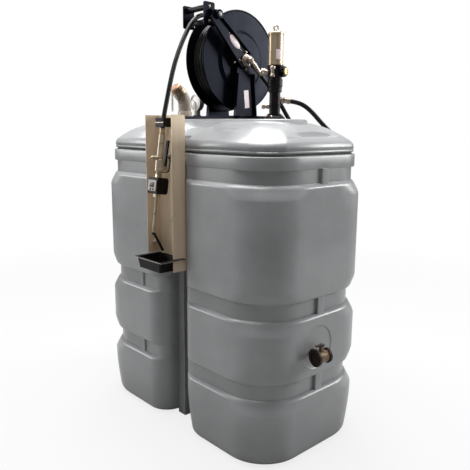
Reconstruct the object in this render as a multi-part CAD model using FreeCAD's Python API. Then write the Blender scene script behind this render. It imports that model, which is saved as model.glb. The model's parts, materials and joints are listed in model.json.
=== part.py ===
import FreeCAD, Part
import math
import os
from FreeCAD import Vector

# All sizes are in millimetres. The origin is on the floor under the middle of the tank.
# +X runs along the tank towards the end with the outlet, the dispensing side faces -Y, +Z is up.

# Tank body: two lobes with bands and grooves, joined by a narrow web
tank_length = 1286.0
tank_width = 720.0
wall = 10.0
lobe_corner_radius = 130.0
lobe_waist_radius = 105.0
lower_band_top = 311.0
middle_band_bottom = 374.0
middle_band_top = 666.0
upper_band_bottom = 731.0
upper_band_top = 1236.0
groove_inset = 22.0
groove_corner_radius = 210.0
groove_waist_radius = 66.0
shoulder_height = 64.0
shoulder_face_height = 18.0
foot_taper = 18.0
foot_taper_height = 230.0
foot_radius = 34.0

# Web and waist between the lobes
waist_half = 70.0
web_front = 250.0
web_overlap = 12.0
web_foot_overlap = 58.0
web_foot_height = 60.0
web_pocket_end = 100.0
web_slot_half = 27.0
web_slot_depth = 38.0

# Ribs across the grooves
end_rib_width = 46.0
end_rib_inset = 9.0
side_rib_width = 26.0
side_rib_inset = 15.0
side_rib_x = 255.0
rib_depth = 30.0

# Rim, floor and dish for the outlet valve
rim_bottom = 1292.0
rim_top = 1349.0
rim_inset = 20.0
rim_corner_radius = 120.0
rim_mouth_radius = 66.0
rim_inner_radius = 12.0
rim_edge_radius = 5.0
rim_lip_width = 26.0
rim_lip_thickness = 10.0
floor_margin = 95.0
floor_thickness = 10.0
floor_corner_radius = 60.0
dish_radius = 100.0
dish_depth = 6.0
dish_y = -30.0
dish_z = 515.0

# Lid
lid_gap = 10.0
lid_inset = 26.0
lid_corner_radius = 118.0
lid_skirt_height = 38.0
lid_lip_height = 9.0
lid_seam_height = 4.0
lid_seam_depth = 2.5
lid_shoulder_radius = 14.0
lid_wall = 8.0
dome_reach = 239.0
dome_rise = 95.0
dome_steps = (0.5, 2.0, 4.5, 8.5, 14.0, 28.0, 46.0, 68.0, 95.0, 126.0, 160.0, 195.0, 225.0)
lid_mouth_half = 60.0
lid_mouth_radius = 58.0
lid_mouth_depth = 78.0
lid_mouth_inner_radius = 16.0
channel_half = 74.0
channel_slope = 16.0
channel_depth = 24.0
recess_x = 570.0
recess_half_length = 108.0
recess_half_width = 23.0
recess_depth = 5.0
seat_flange_inset = 7.0
seat_inset = 16.0
plateau_height = rim_top + 151.0
plateau_foot = rim_top + 81.0
plateau_half_length = 464.0
plateau_half_width = 140.0
plateau_slope = 26.0
plateau_corner = 120.0
plateau_edge_radius = 12.0

# Deck plate on the plateau
deck_thickness = 5.0
deck_top = plateau_height + deck_thickness
deck_back = 170.0
deck_front = -126.0
deck_left = -405.0
deck_right = 214.0

# Hose reel
reel_axle_y = 85.0
reel_axle_z = deck_top + 278.0
reel_radius = 240.0
disc_near_x = 8.0
disc_far_x = -113.0
disc_thickness = 2.5
disc_dish_radius = 150.0
disc_dish_depth = 14.0
disc_dish_slope = 22.0
disc_rim_roll = 4.0
core_radius = 95.0
coil_radius = 205.0
coil_side_gap = 3.0
axle_radius = 15.0
bearing_clearance = 0.05
seat_clearance = 0.1
hub_radius = 30.0
pedestal_near_x = 40.0
pedestal_far_x = -150.0
pedestal_thickness = 5.0
pedestal_width = 145.0
pedestal_top_width = 96.0
pedestal_lip = 22.0
pedestal_fold = 14.0
pedestal_fold_top = 60.0
pedestal_foot_depth = 55.0
reel_base_thickness = 6.0
reel_base_margin = 14.0

# Arm and hose guide
arm_length = 285.0
arm_hub_width = 94.0
arm_head_width = 50.0
arm_thickness = 4.0
arm_lip = 16.0
arm_tilt = 48.0
guide_near_x = 24.0
guide_far_x = -128.0
guide_thickness = 4.0
guide_width = 66.0
guide_height = 104.0
guide_corner = 9.0
guide_y = -129.0
guide_z = reel_axle_z + 193.0
roller_radius = 13.0
roller_gap = 38.0
roller_pin_radius = 4.0
roller_end_gap = 1.5

# Swivel at the hub
swivel_radius = 17.0
swivel_reach = 42.0
swivel_tail = 42.0
swivel_turn = 49.0
ferrule_radius = 12.5
ferrule_length = 55.0
hose_radius = 10.5

# Pump
pump_x = 282.0
pump_y = 50.0
pump_flange_radius = 48.0
pump_flange_thickness = 12.0
pump_collar_height = 14.0
pump_tube_radius = 25.0
pump_tube_top = plateau_height + 122.0
pump_valve_radius = 34.0
pump_valve_top = pump_tube_top + 120.0
pump_cylinder_radius = 34.0
pump_cylinder_top = pump_valve_top + 138.0
pump_cap_thickness = 6.0
pump_eye_radius = 10.0
pump_eye_wire = 3.0
outlet_z = pump_tube_top - 30.0
outlet_turn = 65.0
pump_gauge_turn = 10.0
pump_fitting_turn = -130.0
outlet_droop = 6.0
outlet_reach = 74.0

# Fill pipe and level gauge
fill_x = -330.0
fill_y = 0.0
fill_flange_radius = 42.0
fill_flange_thickness = 10.0
fill_pipe_radius = 29.0
fill_bend_radius = 70.0
fill_bend_angle = 45.0
fill_rise = 62.0
fill_coupling_radius = 33.0
fill_coupling_length = 34.0
fill_cap_radius = 29.0
fill_cap_length = 30.0
gauge_x = -226.0
gauge_y = 0.0
gauge_radius = 43.0
gauge_depth = 30.0
gauge_z = deck_top + 83.0
gauge_neck_radius = 17.0

# Gun bracket
bracket_x = 5.0
bracket_width = 200.0
bracket_depth = 74.0
bracket_thickness = 2.0
bracket_back_y = -336.0
bracket_bottom = 811.0
bracket_top = 1516.0
spacer_radius = 9.0
spacer_offset = 42.0
spacer_heights = (1058.0, 1318.0)
holder_width = 60.0
holder_front_y = -402.0
holder_bottom = 1463.0
holder_height = 40.0
holder_bore_gap = 2.5
slot_clearance = 0.3
slot_height = 9.0

# Drip tray
tray_width = 186.0
tray_depth = 136.0
tray_gap = 5.0
tray_back_y = bracket_back_y - bracket_thickness - tray_gap
tray_bottom = 816.0
tray_height = 52.0
tray_wall = 3.0
tray_draft = 8.0
tray_rim_width = 12.0
tray_rim_thickness = 4.0

# Dispensing gun, built hanging straight down from its inlet and then tilted
gun_y = -385.0
gun_z = 1456.0
gun_tilt = 7.4
grip_radius = 15.5
gun_valve_radius = 19.0
gun_valve_top = -136.0
gun_valve_bottom = -194.0
gun_neck_radius = 11.0
gun_nut_flats = 26.0
gun_nut_height = 14.0
pivot_y = 30.0
pivot_z = -178.0
pivot_pin_radius = 3.0
lever_half = 7.0
lever_side_gap = 0.5
lug_thickness = 4.5
guard_half = 4.0
guard_bar = 4.0
guard_foot_y = 20.0
guard_back_y = 58.0
guard_top_z = -122.0
guard_top_y = 42.0
meter_half_width = 36.0
meter_half_height = 37.0
meter_z = -257.0
display_thickness = 4.0
meter_front_y = -27.0
outlet_pipe_radius = 7.0
outlet_pipe_length = 176.0

# Outlet valve on the end of the tank
valve_z = 494.0
valve_y = -60.0
valve_reach = 48.0
valve_turn = -10.0
valve_stub_radius = 16.0
valve_nut_margin = 5.0
valve_nut_length = 4.0
valve_body_radius = 27.0
valve_body_length = 54.0
valve_disc_front_radius = 39.0
valve_disc_back_radius = 33.0
valve_disc_thickness = 10.0
valve_disc_bore_radius = 26.0
valve_disc_bore_depth = 4.0
valve_neck_radius = 11.0
valve_neck_height = 20.0

parts = {}


def box(x0, x1, y0, y1, z0, z1):
    return Part.makeBox(x1 - x0, y1 - y0, z1 - z0, Vector(x0, y0, z0))


def rod(start, direction, radius, length):
    return Part.makeCylinder(radius, length, start, direction)


def fuse(*solids):
    result = solids[0].fuse(list(solids[1:]))
    return result.removeSplitter()


def rounded_outline(corners, z):
    """Closed wire of straight runs and tangent arcs through (x, y, radius) corners."""
    count = len(corners)
    arcs = []
    for i, (x, y, radius) in enumerate(corners):
        here = Vector(x, y, z)
        before = Vector(corners[i - 1][0], corners[i - 1][1], z)
        after = Vector(corners[(i + 1) % count][0], corners[(i + 1) % count][1], z)
        to_before = (before - here).normalize()
        to_after = (after - here).normalize()
        half = to_before.getAngle(to_after) / 2
        reach = radius / math.tan(half)
        bisector = (to_before + to_after).normalize()
        middle = here + bisector * (radius / math.sin(half) - radius)
        arcs.append((here + to_before * reach, middle, here + to_after * reach))
    edges = []
    for i, (first, middle, last) in enumerate(arcs):
        edges.append(Part.Arc(first, middle, last).toShape())
        following = arcs[(i + 1) % count][0]
        if last.distanceToPoint(following) > 0.01:
            edges.append(Part.LineSegment(last, following).toShape())
    return Part.Wire(edges)


def slab(wire, height):
    return Part.Face(wire).extrude(Vector(0, 0, height))


def rounded_box(half_x, half_y, radius, z0, z1, x=0.0, y=0.0):
    corners = [
        (x + half_x, y - half_y, radius),
        (x + half_x, y + half_y, radius),
        (x - half_x, y + half_y, radius),
        (x - half_x, y - half_y, radius),
    ]
    return slab(rounded_outline(corners, z0), z1 - z0)


def turned(profile):
    """Solid turned about Z from (radius, z) points that start and end on the axis."""
    points = [Vector(radius, 0, z) for radius, z in profile]
    return Part.Face(Part.makePolygon(points + points[:1])).revolve(Vector(0, 0, 0), Vector(0, 0, 1), 360)


def turned_at(profile, x, y):
    """Upright turned piece on the axis through (x, y)."""
    piece = turned(profile)
    piece.translate(Vector(x, y, 0))
    return piece


def side_plate(corners, x0, x1):
    """Plate across X whose (y, z, radius) corners give its outline from the side."""
    plate = slab(rounded_outline(corners, x0), x1 - x0)
    plate.rotate(Vector(0, 0, 0), Vector(1, 0, 0), 90)
    plate.rotate(Vector(0, 0, 0), Vector(0, 0, 1), 90)
    return plate


def hexagon(flats, z0, z1):
    points = []
    for i in range(7):
        angle = math.radians(60 * i)
        points.append(Vector(math.cos(angle), math.sin(angle), 0) * (flats / math.sqrt(3)) + Vector(0, 0, z0))
    return Part.Face(Part.makePolygon(points)).extrude(Vector(0, 0, z1 - z0))


def level_edges(solid, z):
    """Edges that lie in the horizontal plane at z."""
    return [e for e in solid.Edges if abs(e.BoundBox.ZMin - z) < 0.01 and abs(e.BoundBox.ZMax - z) < 0.01]


# Tank body


def lobe_outline(side_inset, waist_inset, end_radius, waist_radius, z):
    """Plan of one lobe, a rounded rectangle on the +X side of the waist."""
    near = waist_half + waist_inset
    end = tank_length / 2 - side_inset
    side = tank_width / 2 - side_inset
    corners = [
        (end, -side, end_radius),
        (end, side, end_radius),
        (near, side, waist_radius),
        (near, -side, waist_radius),
    ]
    return rounded_outline(corners, z)


def diagonal_reach(inset, radius):
    """How far a rounded corner lies inside the sharp corner of the plan, along the diagonal."""
    return inset * math.sqrt(2) + radius * (math.sqrt(2) - 1)


def shoulder_outline(depth, shrink, z):
    """Plan of a band at this depth below its edge: the corners slope like a cone, the faces turn quickly."""
    inset = groove_inset * (1 - min(1.0, depth / shoulder_face_height)) ** 2
    share = min(1.0, depth / shoulder_height)
    groove = diagonal_reach(groove_inset, groove_corner_radius)
    face = diagonal_reach(0.0, lobe_corner_radius)
    reach = groove + (face - groove) * share
    end_radius = (reach - inset * math.sqrt(2)) / (math.sqrt(2) - 1)
    waist_radius = lobe_waist_radius + (groove_waist_radius - lobe_waist_radius) * inset / groove_inset
    return lobe_outline(inset + shrink, shrink, end_radius - shrink, waist_radius - shrink, z)


def shoulder_depths(fine):
    """Depths of the sections of a shoulder, close together where its face turns."""
    face = shoulder_face_height
    if fine:
        return (0.0, face * 0.2, face * 0.45, face * 0.7, face, (face + shoulder_height) / 2, shoulder_height)
    return (0.0, face, shoulder_height)


def foot_outlines():
    """Plans of the lowest band up to its straight part: it tapers and ends in a rounded edge."""
    wires = []
    for share in (0.0, 0.04, 0.15, 0.35, 0.65, 1.0, 2.0, 3.3, 5.0):
        z = share * foot_radius
        taper = foot_taper * (1 - min(1.0, z / foot_taper_height)) ** 1.5
        low = foot_radius - min(z, foot_radius)
        inset = taper + foot_radius - math.sqrt(foot_radius ** 2 - low ** 2)
        wires.append(lobe_outline(inset, inset, lobe_corner_radius, lobe_waist_radius, z))
    return wires


def lobe_form(shrink, fine):
    """One lobe from the floor to the rim, lofted through level outlines."""
    wires = foot_outlines() if fine else [shoulder_outline(shoulder_height, wall + foot_taper, wall)]
    spans = (
        (None, lower_band_top),
        (middle_band_bottom, middle_band_top),
        (upper_band_bottom, upper_band_top),
    )
    for bottom, top in spans:
        if bottom is not None:
            for depth in shoulder_depths(fine):
                wires.append(shoulder_outline(depth, shrink, bottom + shrink + depth))
        for depth in reversed(shoulder_depths(fine)):
            wires.append(shoulder_outline(depth, shrink, top - shrink - depth))
    top = rim_top - rim_lip_thickness if shrink else rim_top
    wires.append(shoulder_outline(0.0, shrink, top))
    return Part.makeLoft(wires, True, True)


def mirrored(shape):
    return shape.mirror(Vector(0, 0, 0), Vector(1, 0, 0))


def web():
    """Wall between the lobes with an upright slot on each side, wider where the lobes taper to the floor."""
    half = waist_half + web_overlap
    foot_half = waist_half + web_foot_overlap
    block = box(-half, half, -web_front, web_front, 0.0, rim_bottom)
    foot_front = web_front - foot_radius / 2
    block = block.fuse(box(-foot_half, foot_half, -foot_front, foot_front, 0.0, web_foot_height))
    slot_back = web_front - web_slot_depth
    slots = [
        box(-web_slot_half, web_slot_half, -web_front - 1, -slot_back, -1.0, rim_bottom),
        box(-web_slot_half, web_slot_half, slot_back, web_front + 1, -1.0, rim_bottom),
    ]
    return block.cut(slots)


def web_cavity():
    """Space between the lobes, which reaches out beside the slots."""
    half = waist_half + web_foot_overlap
    side = web_front - web_slot_depth - wall
    front = web_front - wall
    foot = web_foot_height + wall
    inner = web_slot_half + wall
    space = box(-half, half, -side, side, wall, rim_top - rim_lip_thickness)
    pockets = []
    for x0, x1 in ((inner, web_pocket_end), (-web_pocket_end, -inner)):
        pockets.append(box(x0, x1, -front, front, foot, rim_top - rim_lip_thickness))
    return space.fuse(pockets)


def waisted_outline(inset, end_radius, mouth_half, mouth_radius, depth, inner_radius, z):
    """Plan of the whole tank: a rounded rectangle with a recess in the middle of both long sides."""
    end = tank_length / 2 - inset
    side = tank_width / 2 - inset
    floor = side - depth
    corners = [
        (end, -side, end_radius),
        (end, side, end_radius),
        (mouth_half, side, mouth_radius),
        (mouth_half, floor, inner_radius),
        (-mouth_half, floor, inner_radius),
        (-mouth_half, side, mouth_radius),
        (-end, side, end_radius),
        (-end, -side, end_radius),
        (-mouth_half, -side, mouth_radius),
        (-mouth_half, -floor, inner_radius),
        (mouth_half, -floor, inner_radius),
        (mouth_half, -side, mouth_radius),
    ]
    return rounded_outline(corners, z)


def rim_outline(inset, z):
    """Plan of the rim, or of a line this far inside it."""
    depth = tank_width / 2 - rim_inset - web_front
    end_radius = rim_corner_radius - inset
    half = waist_half + inset
    mouth_radius = min(rim_mouth_radius + inset, depth - rim_inner_radius - 1)
    return waisted_outline(rim_inset + inset, end_radius, half, mouth_radius, depth, rim_inner_radius, z)


def rim():
    block = slab(rim_outline(0.0, rim_bottom), rim_top - rim_bottom)
    return block.makeFillet(rim_edge_radius, level_edges(block, rim_top) + level_edges(block, rim_bottom))


def rim_cavity():
    """Space behind the rim and the opening that its inward lip leaves."""
    lip_foot = rim_top - rim_lip_thickness
    foot = rim_bottom + wall
    space = slab(rim_outline(wall, foot), lip_foot - foot)
    return space.fuse(slab(rim_outline(rim_lip_width, lip_foot - 1), rim_lip_thickness + 2))


def grooves():
    """Heights between which a rib crosses each groove and the neck."""
    return (
        (lower_band_top - shoulder_height, middle_band_bottom + shoulder_height),
        (middle_band_top - shoulder_height, upper_band_bottom + shoulder_height),
        (upper_band_top - shoulder_height, rim_bottom + 1.0),
    )


def end_ribs():
    end = tank_length / 2 - end_rib_inset
    half = end_rib_width / 2
    ribs = []
    for bottom, top in grooves():
        ribs.append(box(end - rib_depth, end, -half, half, bottom, top))
        ribs.append(box(-end, rib_depth - end, -half, half, bottom, top))
    return ribs


def side_ribs():
    """Narrow ribs in the two grooves, one on each long side."""
    side = tank_width / 2 - side_rib_inset
    half = side_rib_width / 2
    ribs = []
    for bottom, top in grooves()[:2]:
        ribs.append(box(-side_rib_x - half, -side_rib_x + half, -side, rib_depth - side, bottom, top))
        ribs.append(box(side_rib_x - half, side_rib_x + half, side - rib_depth, side, bottom, top))
    return ribs


def floor_opening():
    side = web_front - web_slot_depth - 2 * wall
    end = tank_length / 2 - floor_margin
    return rounded_box(end, side, floor_corner_radius, 0.0, floor_thickness)


def valve_dish():
    """Shallow round seat for the outlet valve, in the end face."""
    centre = Vector(tank_length / 2 - dish_depth, dish_y, dish_z)
    return Part.makeCone(dish_radius - 2 * dish_depth, dish_radius, dish_depth, centre, Vector(1, 0, 0))


def tank_shell():
    right = lobe_form(0.0, True)
    outer = right.fuse([mirrored(right), web(), rim()] + end_ribs() + side_ribs())
    hollow = lobe_form(wall, False)
    spaces = [hollow, mirrored(hollow), web_cavity(), rim_cavity(), floor_opening()]
    return outer.cut(spaces + [valve_dish()])


# Lid


def dome_level(step):
    """Height of the dome this far inside the skirt: a round shoulder and then a shallow arch."""
    skirt_top = rim_top + lid_gap + lid_skirt_height
    out = lid_shoulder_radius - min(step, lid_shoulder_radius)
    shoulder = math.sqrt(lid_shoulder_radius ** 2 - out ** 2) - lid_shoulder_radius
    return skirt_top + shoulder + dome_rise * (1 - (1 - step / dome_reach) ** 2)


def dome_outline(step, shrink, z):
    end = tank_length / 2 - lid_inset - step - shrink
    side = tank_width / 2 - lid_inset - step - shrink
    radius = lid_corner_radius - 0.1 * step - shrink
    corners = [(end, -side, radius), (end, side, radius), (-end, side, radius), (-end, -side, radius)]
    return rounded_outline(corners, z)


def dome(shrink):
    """Skirt with its seam and dome, without the recesses of the waist, lofted through level outlines."""
    foot = rim_top + lid_gap
    wires = [dome_outline(0.0, shrink, foot)]
    if not shrink:
        seam = foot + lid_lip_height
        for step, z in ((0.0, seam), (lid_seam_depth, seam + 1), (lid_seam_depth, seam + lid_seam_height - 1)):
            wires.append(dome_outline(step, 0.0, z))
        wires.append(dome_outline(0.0, 0.0, seam + lid_seam_height))
    wires.append(dome_outline(0.0, shrink, dome_level(0.0) - shrink))
    for step in dome_steps:
        wires.append(dome_outline(step, shrink, dome_level(step) - shrink))
    return Part.makeLoft(wires, True, True)


def lid_mouth(grow, side):
    """Upright recess in the middle of a long side of the lid, with rounded lips."""
    lip = tank_width / 2 - lid_inset + 0.5
    half = lid_mouth_half + grow
    back = lip - 0.5 - lid_mouth_depth - grow
    inner = lid_mouth_inner_radius
    far = 2 * lid_mouth_half + 3 * lid_mouth_radius
    corners = [
        (far, side * (lip + 40), 1),
        (far, side * lip, 1),
        (half, side * lip, lid_mouth_radius),
        (half, side * back, inner),
        (-half, side * back, inner),
        (-half, side * lip, lid_mouth_radius),
        (-far, side * lip, 1),
        (-far, side * (lip + 40), 1),
    ]
    return slab(rounded_outline(corners, rim_top), plateau_height - rim_top)


def channel(grow):
    """Shallow valley over the dome between the two recesses of the waist, with sloping sides."""
    low_half = channel_half + grow
    reach = tank_width / 2 - lid_inset - 20.0
    low = dome_level(20.0) - 2 * channel_depth
    high = plateau_height + 40.0
    spread = low_half + channel_slope * (high - low) / channel_depth
    corners = [Vector(-low_half, -reach, low), Vector(low_half, -reach, low)]
    corners += [Vector(spread, -reach, high), Vector(-spread, -reach, high)]
    trough = Part.Face(Part.makePolygon(corners + corners[:1])).extrude(Vector(0, 2 * reach, 0))
    floor = dome(0.0)
    floor.translate(Vector(0, 0, -channel_depth - grow))
    return trough.cut(floor)


def lid_recess(grow, side):
    """Level seat cut into the end of the dome, shaped like a lens."""
    length = recess_half_length + grow
    width = recess_half_width + grow
    z = dome_level(tank_length / 2 - lid_inset - recess_x) - recess_depth - grow
    tips = Vector(recess_x, -length, z), Vector(recess_x, length, z)
    inner = Part.Arc(tips[0], Vector(recess_x - width, 0, z), tips[1]).toShape()
    outer = Part.Arc(tips[1], Vector(recess_x + width, 0, z), tips[0]).toShape()
    seat = Part.Face(Part.Wire([inner, outer])).extrude(Vector(0, 0, 60.0))
    return seat if side > 0 else mirrored(seat)


def plateau(shrink):
    wires = []
    for z, grow in ((plateau_foot, plateau_slope), (plateau_height - shrink, 0.0)):
        half_x = plateau_half_length + grow - shrink
        half_y = plateau_half_width + grow - shrink
        radius = plateau_corner + grow - shrink
        corners = [
            (half_x, -half_y, radius),
            (half_x, half_y, radius),
            (-half_x, half_y, radius),
            (-half_x, -half_y, radius),
        ]
        wires.append(rounded_outline(corners, z))
    block = Part.makeLoft(wires, True, True)
    return block.makeFillet(plateau_edge_radius - shrink / 2, level_edges(block, plateau_height - shrink))


def lid_form(shrink):
    cutters = [lid_mouth(shrink, 1), lid_mouth(shrink, -1), channel(shrink)]
    cutters += [lid_recess(shrink, 1), lid_recess(shrink, -1)]
    return dome(shrink).cut(cutters).fuse(plateau(shrink))


def lid_seat():
    """Flange under the skirt and the ring below it that rests on the lip of the rim."""
    seat_z = rim_top + lid_gap
    flange = slab(rim_outline(seat_flange_inset, seat_z), lid_wall)
    ring = slab(rim_outline(seat_inset, rim_top), lid_gap + 1)
    hollow = slab(rim_outline(rim_lip_width, rim_top - 1), lid_gap + lid_wall + 2)
    return flange.fuse(ring).cut(hollow)


def tank_lid():
    return lid_form(0.0).cut(lid_form(lid_wall)).fuse(lid_seat()).removeSplitter()


# Deck and reel


def deck_plate():
    centre_x = (deck_left + deck_right) / 2
    centre_y = (deck_front + deck_back) / 2
    half_x = (deck_right - deck_left) / 2
    half_y = (deck_back - deck_front) / 2
    return rounded_box(half_x, half_y, 20.0, plateau_height, deck_top, centre_x, centre_y)


def reel_base():
    left = pedestal_far_x - pedestal_lip - reel_base_margin
    right = pedestal_near_x + pedestal_foot_depth + reel_base_margin
    half_x = (right - left) / 2
    half_y = pedestal_width / 2 + reel_base_margin - 4.0
    z = deck_top
    return rounded_box(half_x, half_y, 12.0, z, z + reel_base_thickness, (left + right) / 2, reel_axle_y)


def pedestal_plate(x):
    """Upright sheet that narrows towards the axle and ends in a round head."""
    foot = deck_top + reel_base_thickness
    head = pedestal_top_width / 2
    half = pedestal_width / 2
    corners = [
        Vector(x, reel_axle_y - half, foot),
        Vector(x, reel_axle_y + half, foot),
        Vector(x, reel_axle_y + head, reel_axle_z),
        Vector(x, reel_axle_y - head, reel_axle_z),
    ]
    sheet = Part.Face(Part.makePolygon(corners + corners[:1])).extrude(Vector(pedestal_thickness, 0, 0))
    return sheet.fuse(rod(Vector(x, reel_axle_y, reel_axle_z), Vector(1, 0, 0), head, pedestal_thickness))


def pedestal_fold_strip(x0, x1, side):
    """Folded lip along one sloping edge of the upright, below the round head."""
    foot = deck_top + reel_base_thickness
    top = reel_axle_z - pedestal_fold_top
    half = pedestal_width / 2
    slope = (half - pedestal_top_width / 2) / (reel_axle_z - foot)
    high_half = half - slope * (top - foot)
    y = reel_axle_y
    corners = [
        Vector(x0, y + side * half, foot),
        Vector(x0, y + side * (half - pedestal_thickness), foot),
        Vector(x0, y + side * (high_half - pedestal_thickness), top),
        Vector(x0, y + side * high_half, top),
    ]
    return Part.Face(Part.makePolygon(corners + corners[:1])).extrude(Vector(x1 - x0, 0, 0))


def pedestal(x, side):
    """Upright with a foot flange and folded side lips on its outer face."""
    foot = deck_top + reel_base_thickness
    half = pedestal_width / 2
    inner = x if side > 0 else x - pedestal_thickness
    flange_reach = pedestal_foot_depth if side > 0 else pedestal_lip
    x0, x1 = sorted((x, x + side * flange_reach))
    flange = box(x0, x1, reel_axle_y - half, reel_axle_y + half, foot, foot + pedestal_thickness)
    fold0, fold1 = sorted((x, x + side * (pedestal_thickness + pedestal_fold)))
    folds = [pedestal_fold_strip(fold0, fold1, -1), pedestal_fold_strip(fold0, fold1, 1)]
    return pedestal_plate(inner).fuse([flange] + folds).removeSplitter()


def reel_pedestal_near():
    return pedestal(pedestal_near_x, 1)


def reel_pedestal_far():
    return pedestal(pedestal_far_x, -1)


def reel_axle():
    start = pedestal_far_x
    length = pedestal_near_x - pedestal_far_x
    axle = rod(Vector(start, reel_axle_y, reel_axle_z), Vector(1, 0, 0), axle_radius, length)
    return axle


def disc(x, outward):
    """Pressed side plate: flat ring, dished middle and a rolled rim."""
    centre = Vector(0, 0, 0)
    along = Vector(1, 0, 0)
    flat = rod(centre, along, reel_radius, disc_thickness)
    low = disc_dish_radius - disc_dish_slope
    dish = Part.makeCone(disc_dish_radius, low, disc_dish_depth, centre, along)
    inner_radii = disc_dish_radius - disc_thickness, low - disc_thickness
    dish_inner = Part.makeCone(*inner_radii, disc_dish_depth - disc_thickness, centre, along)
    roll = Part.makeTorus(reel_radius - disc_rim_roll, disc_rim_roll, Vector(disc_thickness / 2, 0, 0), along)
    plate = flat.fuse([dish, roll]).cut(dish_inner)
    bore = rod(Vector(-20, 0, 0), Vector(1, 0, 0), hub_radius - 6.0, 60.0)
    plate = plate.cut(bore)
    if outward < 0:
        plate = plate.mirror(Vector(0, 0, 0), Vector(1, 0, 0))
    plate.translate(Vector(x, reel_axle_y, reel_axle_z))
    return plate


def reel_disc_near():
    return disc(disc_near_x, 1)


def reel_disc_far():
    return disc(disc_far_x, -1)


def reel_core():
    """Drum between the discs, with a hub tube that turns on the axle."""
    length = disc_near_x - disc_far_x
    start = Vector(disc_far_x, reel_axle_y, reel_axle_z)
    drum = rod(start, Vector(1, 0, 0), core_radius, length)
    drum = drum.cut(rod(start + Vector(4, 0, 0), Vector(1, 0, 0), core_radius - 4.0, length - 8.0))
    hub_start = Vector(disc_far_x - disc_dish_depth - 6.0, reel_axle_y, reel_axle_z)
    hub = rod(hub_start, Vector(1, 0, 0), hub_radius - 6.0, length + 2 * (disc_dish_depth + 6.0))
    bore_start = Vector(disc_far_x - 60.0, reel_axle_y, reel_axle_z)
    bore = rod(bore_start, Vector(1, 0, 0), axle_radius + bearing_clearance, length + 120.0)
    return drum.fuse(hub).cut(bore).removeSplitter()


def wound_hose():
    """Layers of hose on the drum, with the outer layer's turns showing as ridges."""
    inner_x = disc_far_x + coil_side_gap
    width = disc_near_x - disc_far_x - 2 * coil_side_gap
    turns = int(width // (2 * hose_radius))
    pitch = width / turns
    start = Vector(inner_x, reel_axle_y, reel_axle_z)
    coil = rod(start, Vector(1, 0, 0), coil_radius - hose_radius, width)
    rings = []
    for turn in range(turns):
        centre = Vector(inner_x + pitch * (turn + 0.5), reel_axle_y, reel_axle_z)
        rings.append(Part.makeTorus(coil_radius - hose_radius, min(hose_radius, pitch / 2), centre, Vector(1, 0, 0)))
    coil = coil.fuse(rings)
    coil = coil.cut(rod(start - Vector(5, 0, 0), Vector(1, 0, 0), core_radius, width + 10.0))
    return coil.removeSplitter()


# Arm and hose guide


def reel_arm():
    """Folded arm from the hub up to the hose guide, tapering towards its head."""
    x = pedestal_near_x + pedestal_thickness
    hub_half = arm_hub_width / 2
    head_half = arm_head_width / 2
    outline = [
        Vector(x, -hub_half, 0),
        Vector(x, hub_half, 0),
        Vector(x, head_half, arm_length),
        Vector(x, -head_half, arm_length),
    ]
    sheet = Part.Face(Part.makePolygon(outline + outline[:1])).extrude(Vector(arm_thickness, 0, 0))
    round_end = rod(Vector(x, 0, 0), Vector(1, 0, 0), hub_half, arm_thickness)
    arm = sheet.fuse(round_end)
    for side in (-1, 1):
        lip = [
            Vector(x, side * hub_half, 0),
            Vector(x, side * (hub_half - arm_thickness), 0),
            Vector(x, side * (head_half - arm_thickness), arm_length),
            Vector(x, side * head_half, arm_length),
        ]
        lip_solid = Part.Face(Part.makePolygon(lip + lip[:1])).extrude(Vector(arm_lip, 0, 0))
        arm = arm.fuse(lip_solid)
    arm.rotate(Vector(0, 0, 0), Vector(1, 0, 0), arm_tilt)
    arm.translate(Vector(0, reel_axle_y, reel_axle_z))
    return arm.removeSplitter()


def guide_cheek(x):
    half = guide_width / 2
    rise = guide_height / 2
    corners = [
        (guide_y - half, guide_z - rise, guide_corner),
        (guide_y + half, guide_z - rise, guide_corner),
        (guide_y + half, guide_z + rise, guide_corner),
        (guide_y - half, guide_z + rise, guide_corner),
    ]
    return side_plate(corners, x, x + guide_thickness)


def roller_places():
    spread = roller_radius + roller_gap / 2
    return (guide_z + spread, guide_z - spread)


def guide_cheeks():
    """Two cheek plates joined by the roller pins and a tie bar, carried by the head of the arm."""
    near = guide_cheek(guide_near_x)
    far = guide_cheek(guide_far_x)
    length = guide_near_x - guide_far_x
    frame = near.fuse(far)
    for z in roller_places():
        frame = frame.fuse(rod(Vector(guide_far_x, guide_y, z), Vector(1, 0, 0), roller_pin_radius, length))
    tie = rod(Vector(guide_far_x, guide_y + guide_width / 2 - 12.0, guide_z + 30.0), Vector(1, 0, 0), 5.0, length)
    reach = pedestal_near_x + pedestal_thickness - guide_near_x
    back = guide_y + guide_width / 2
    block = box(guide_near_x, guide_near_x + reach, guide_y + 2.0, back, guide_z - 20.0, guide_z + 20.0)
    return frame.fuse([tie, block]).removeSplitter()


def guide_roller(index):
    z = roller_places()[index]
    start = guide_far_x + guide_thickness + roller_end_gap
    length = guide_near_x - start - roller_end_gap
    sleeve = rod(Vector(start, guide_y, z), Vector(1, 0, 0), roller_radius, length)
    bore = rod(Vector(start - 1, guide_y, z), Vector(1, 0, 0), roller_pin_radius + bearing_clearance, length + 2)
    return sleeve.cut(bore)


# Swivel


def swivel_start():
    return Vector(pedestal_near_x + pedestal_thickness + arm_thickness, reel_axle_y, reel_axle_z)


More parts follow.
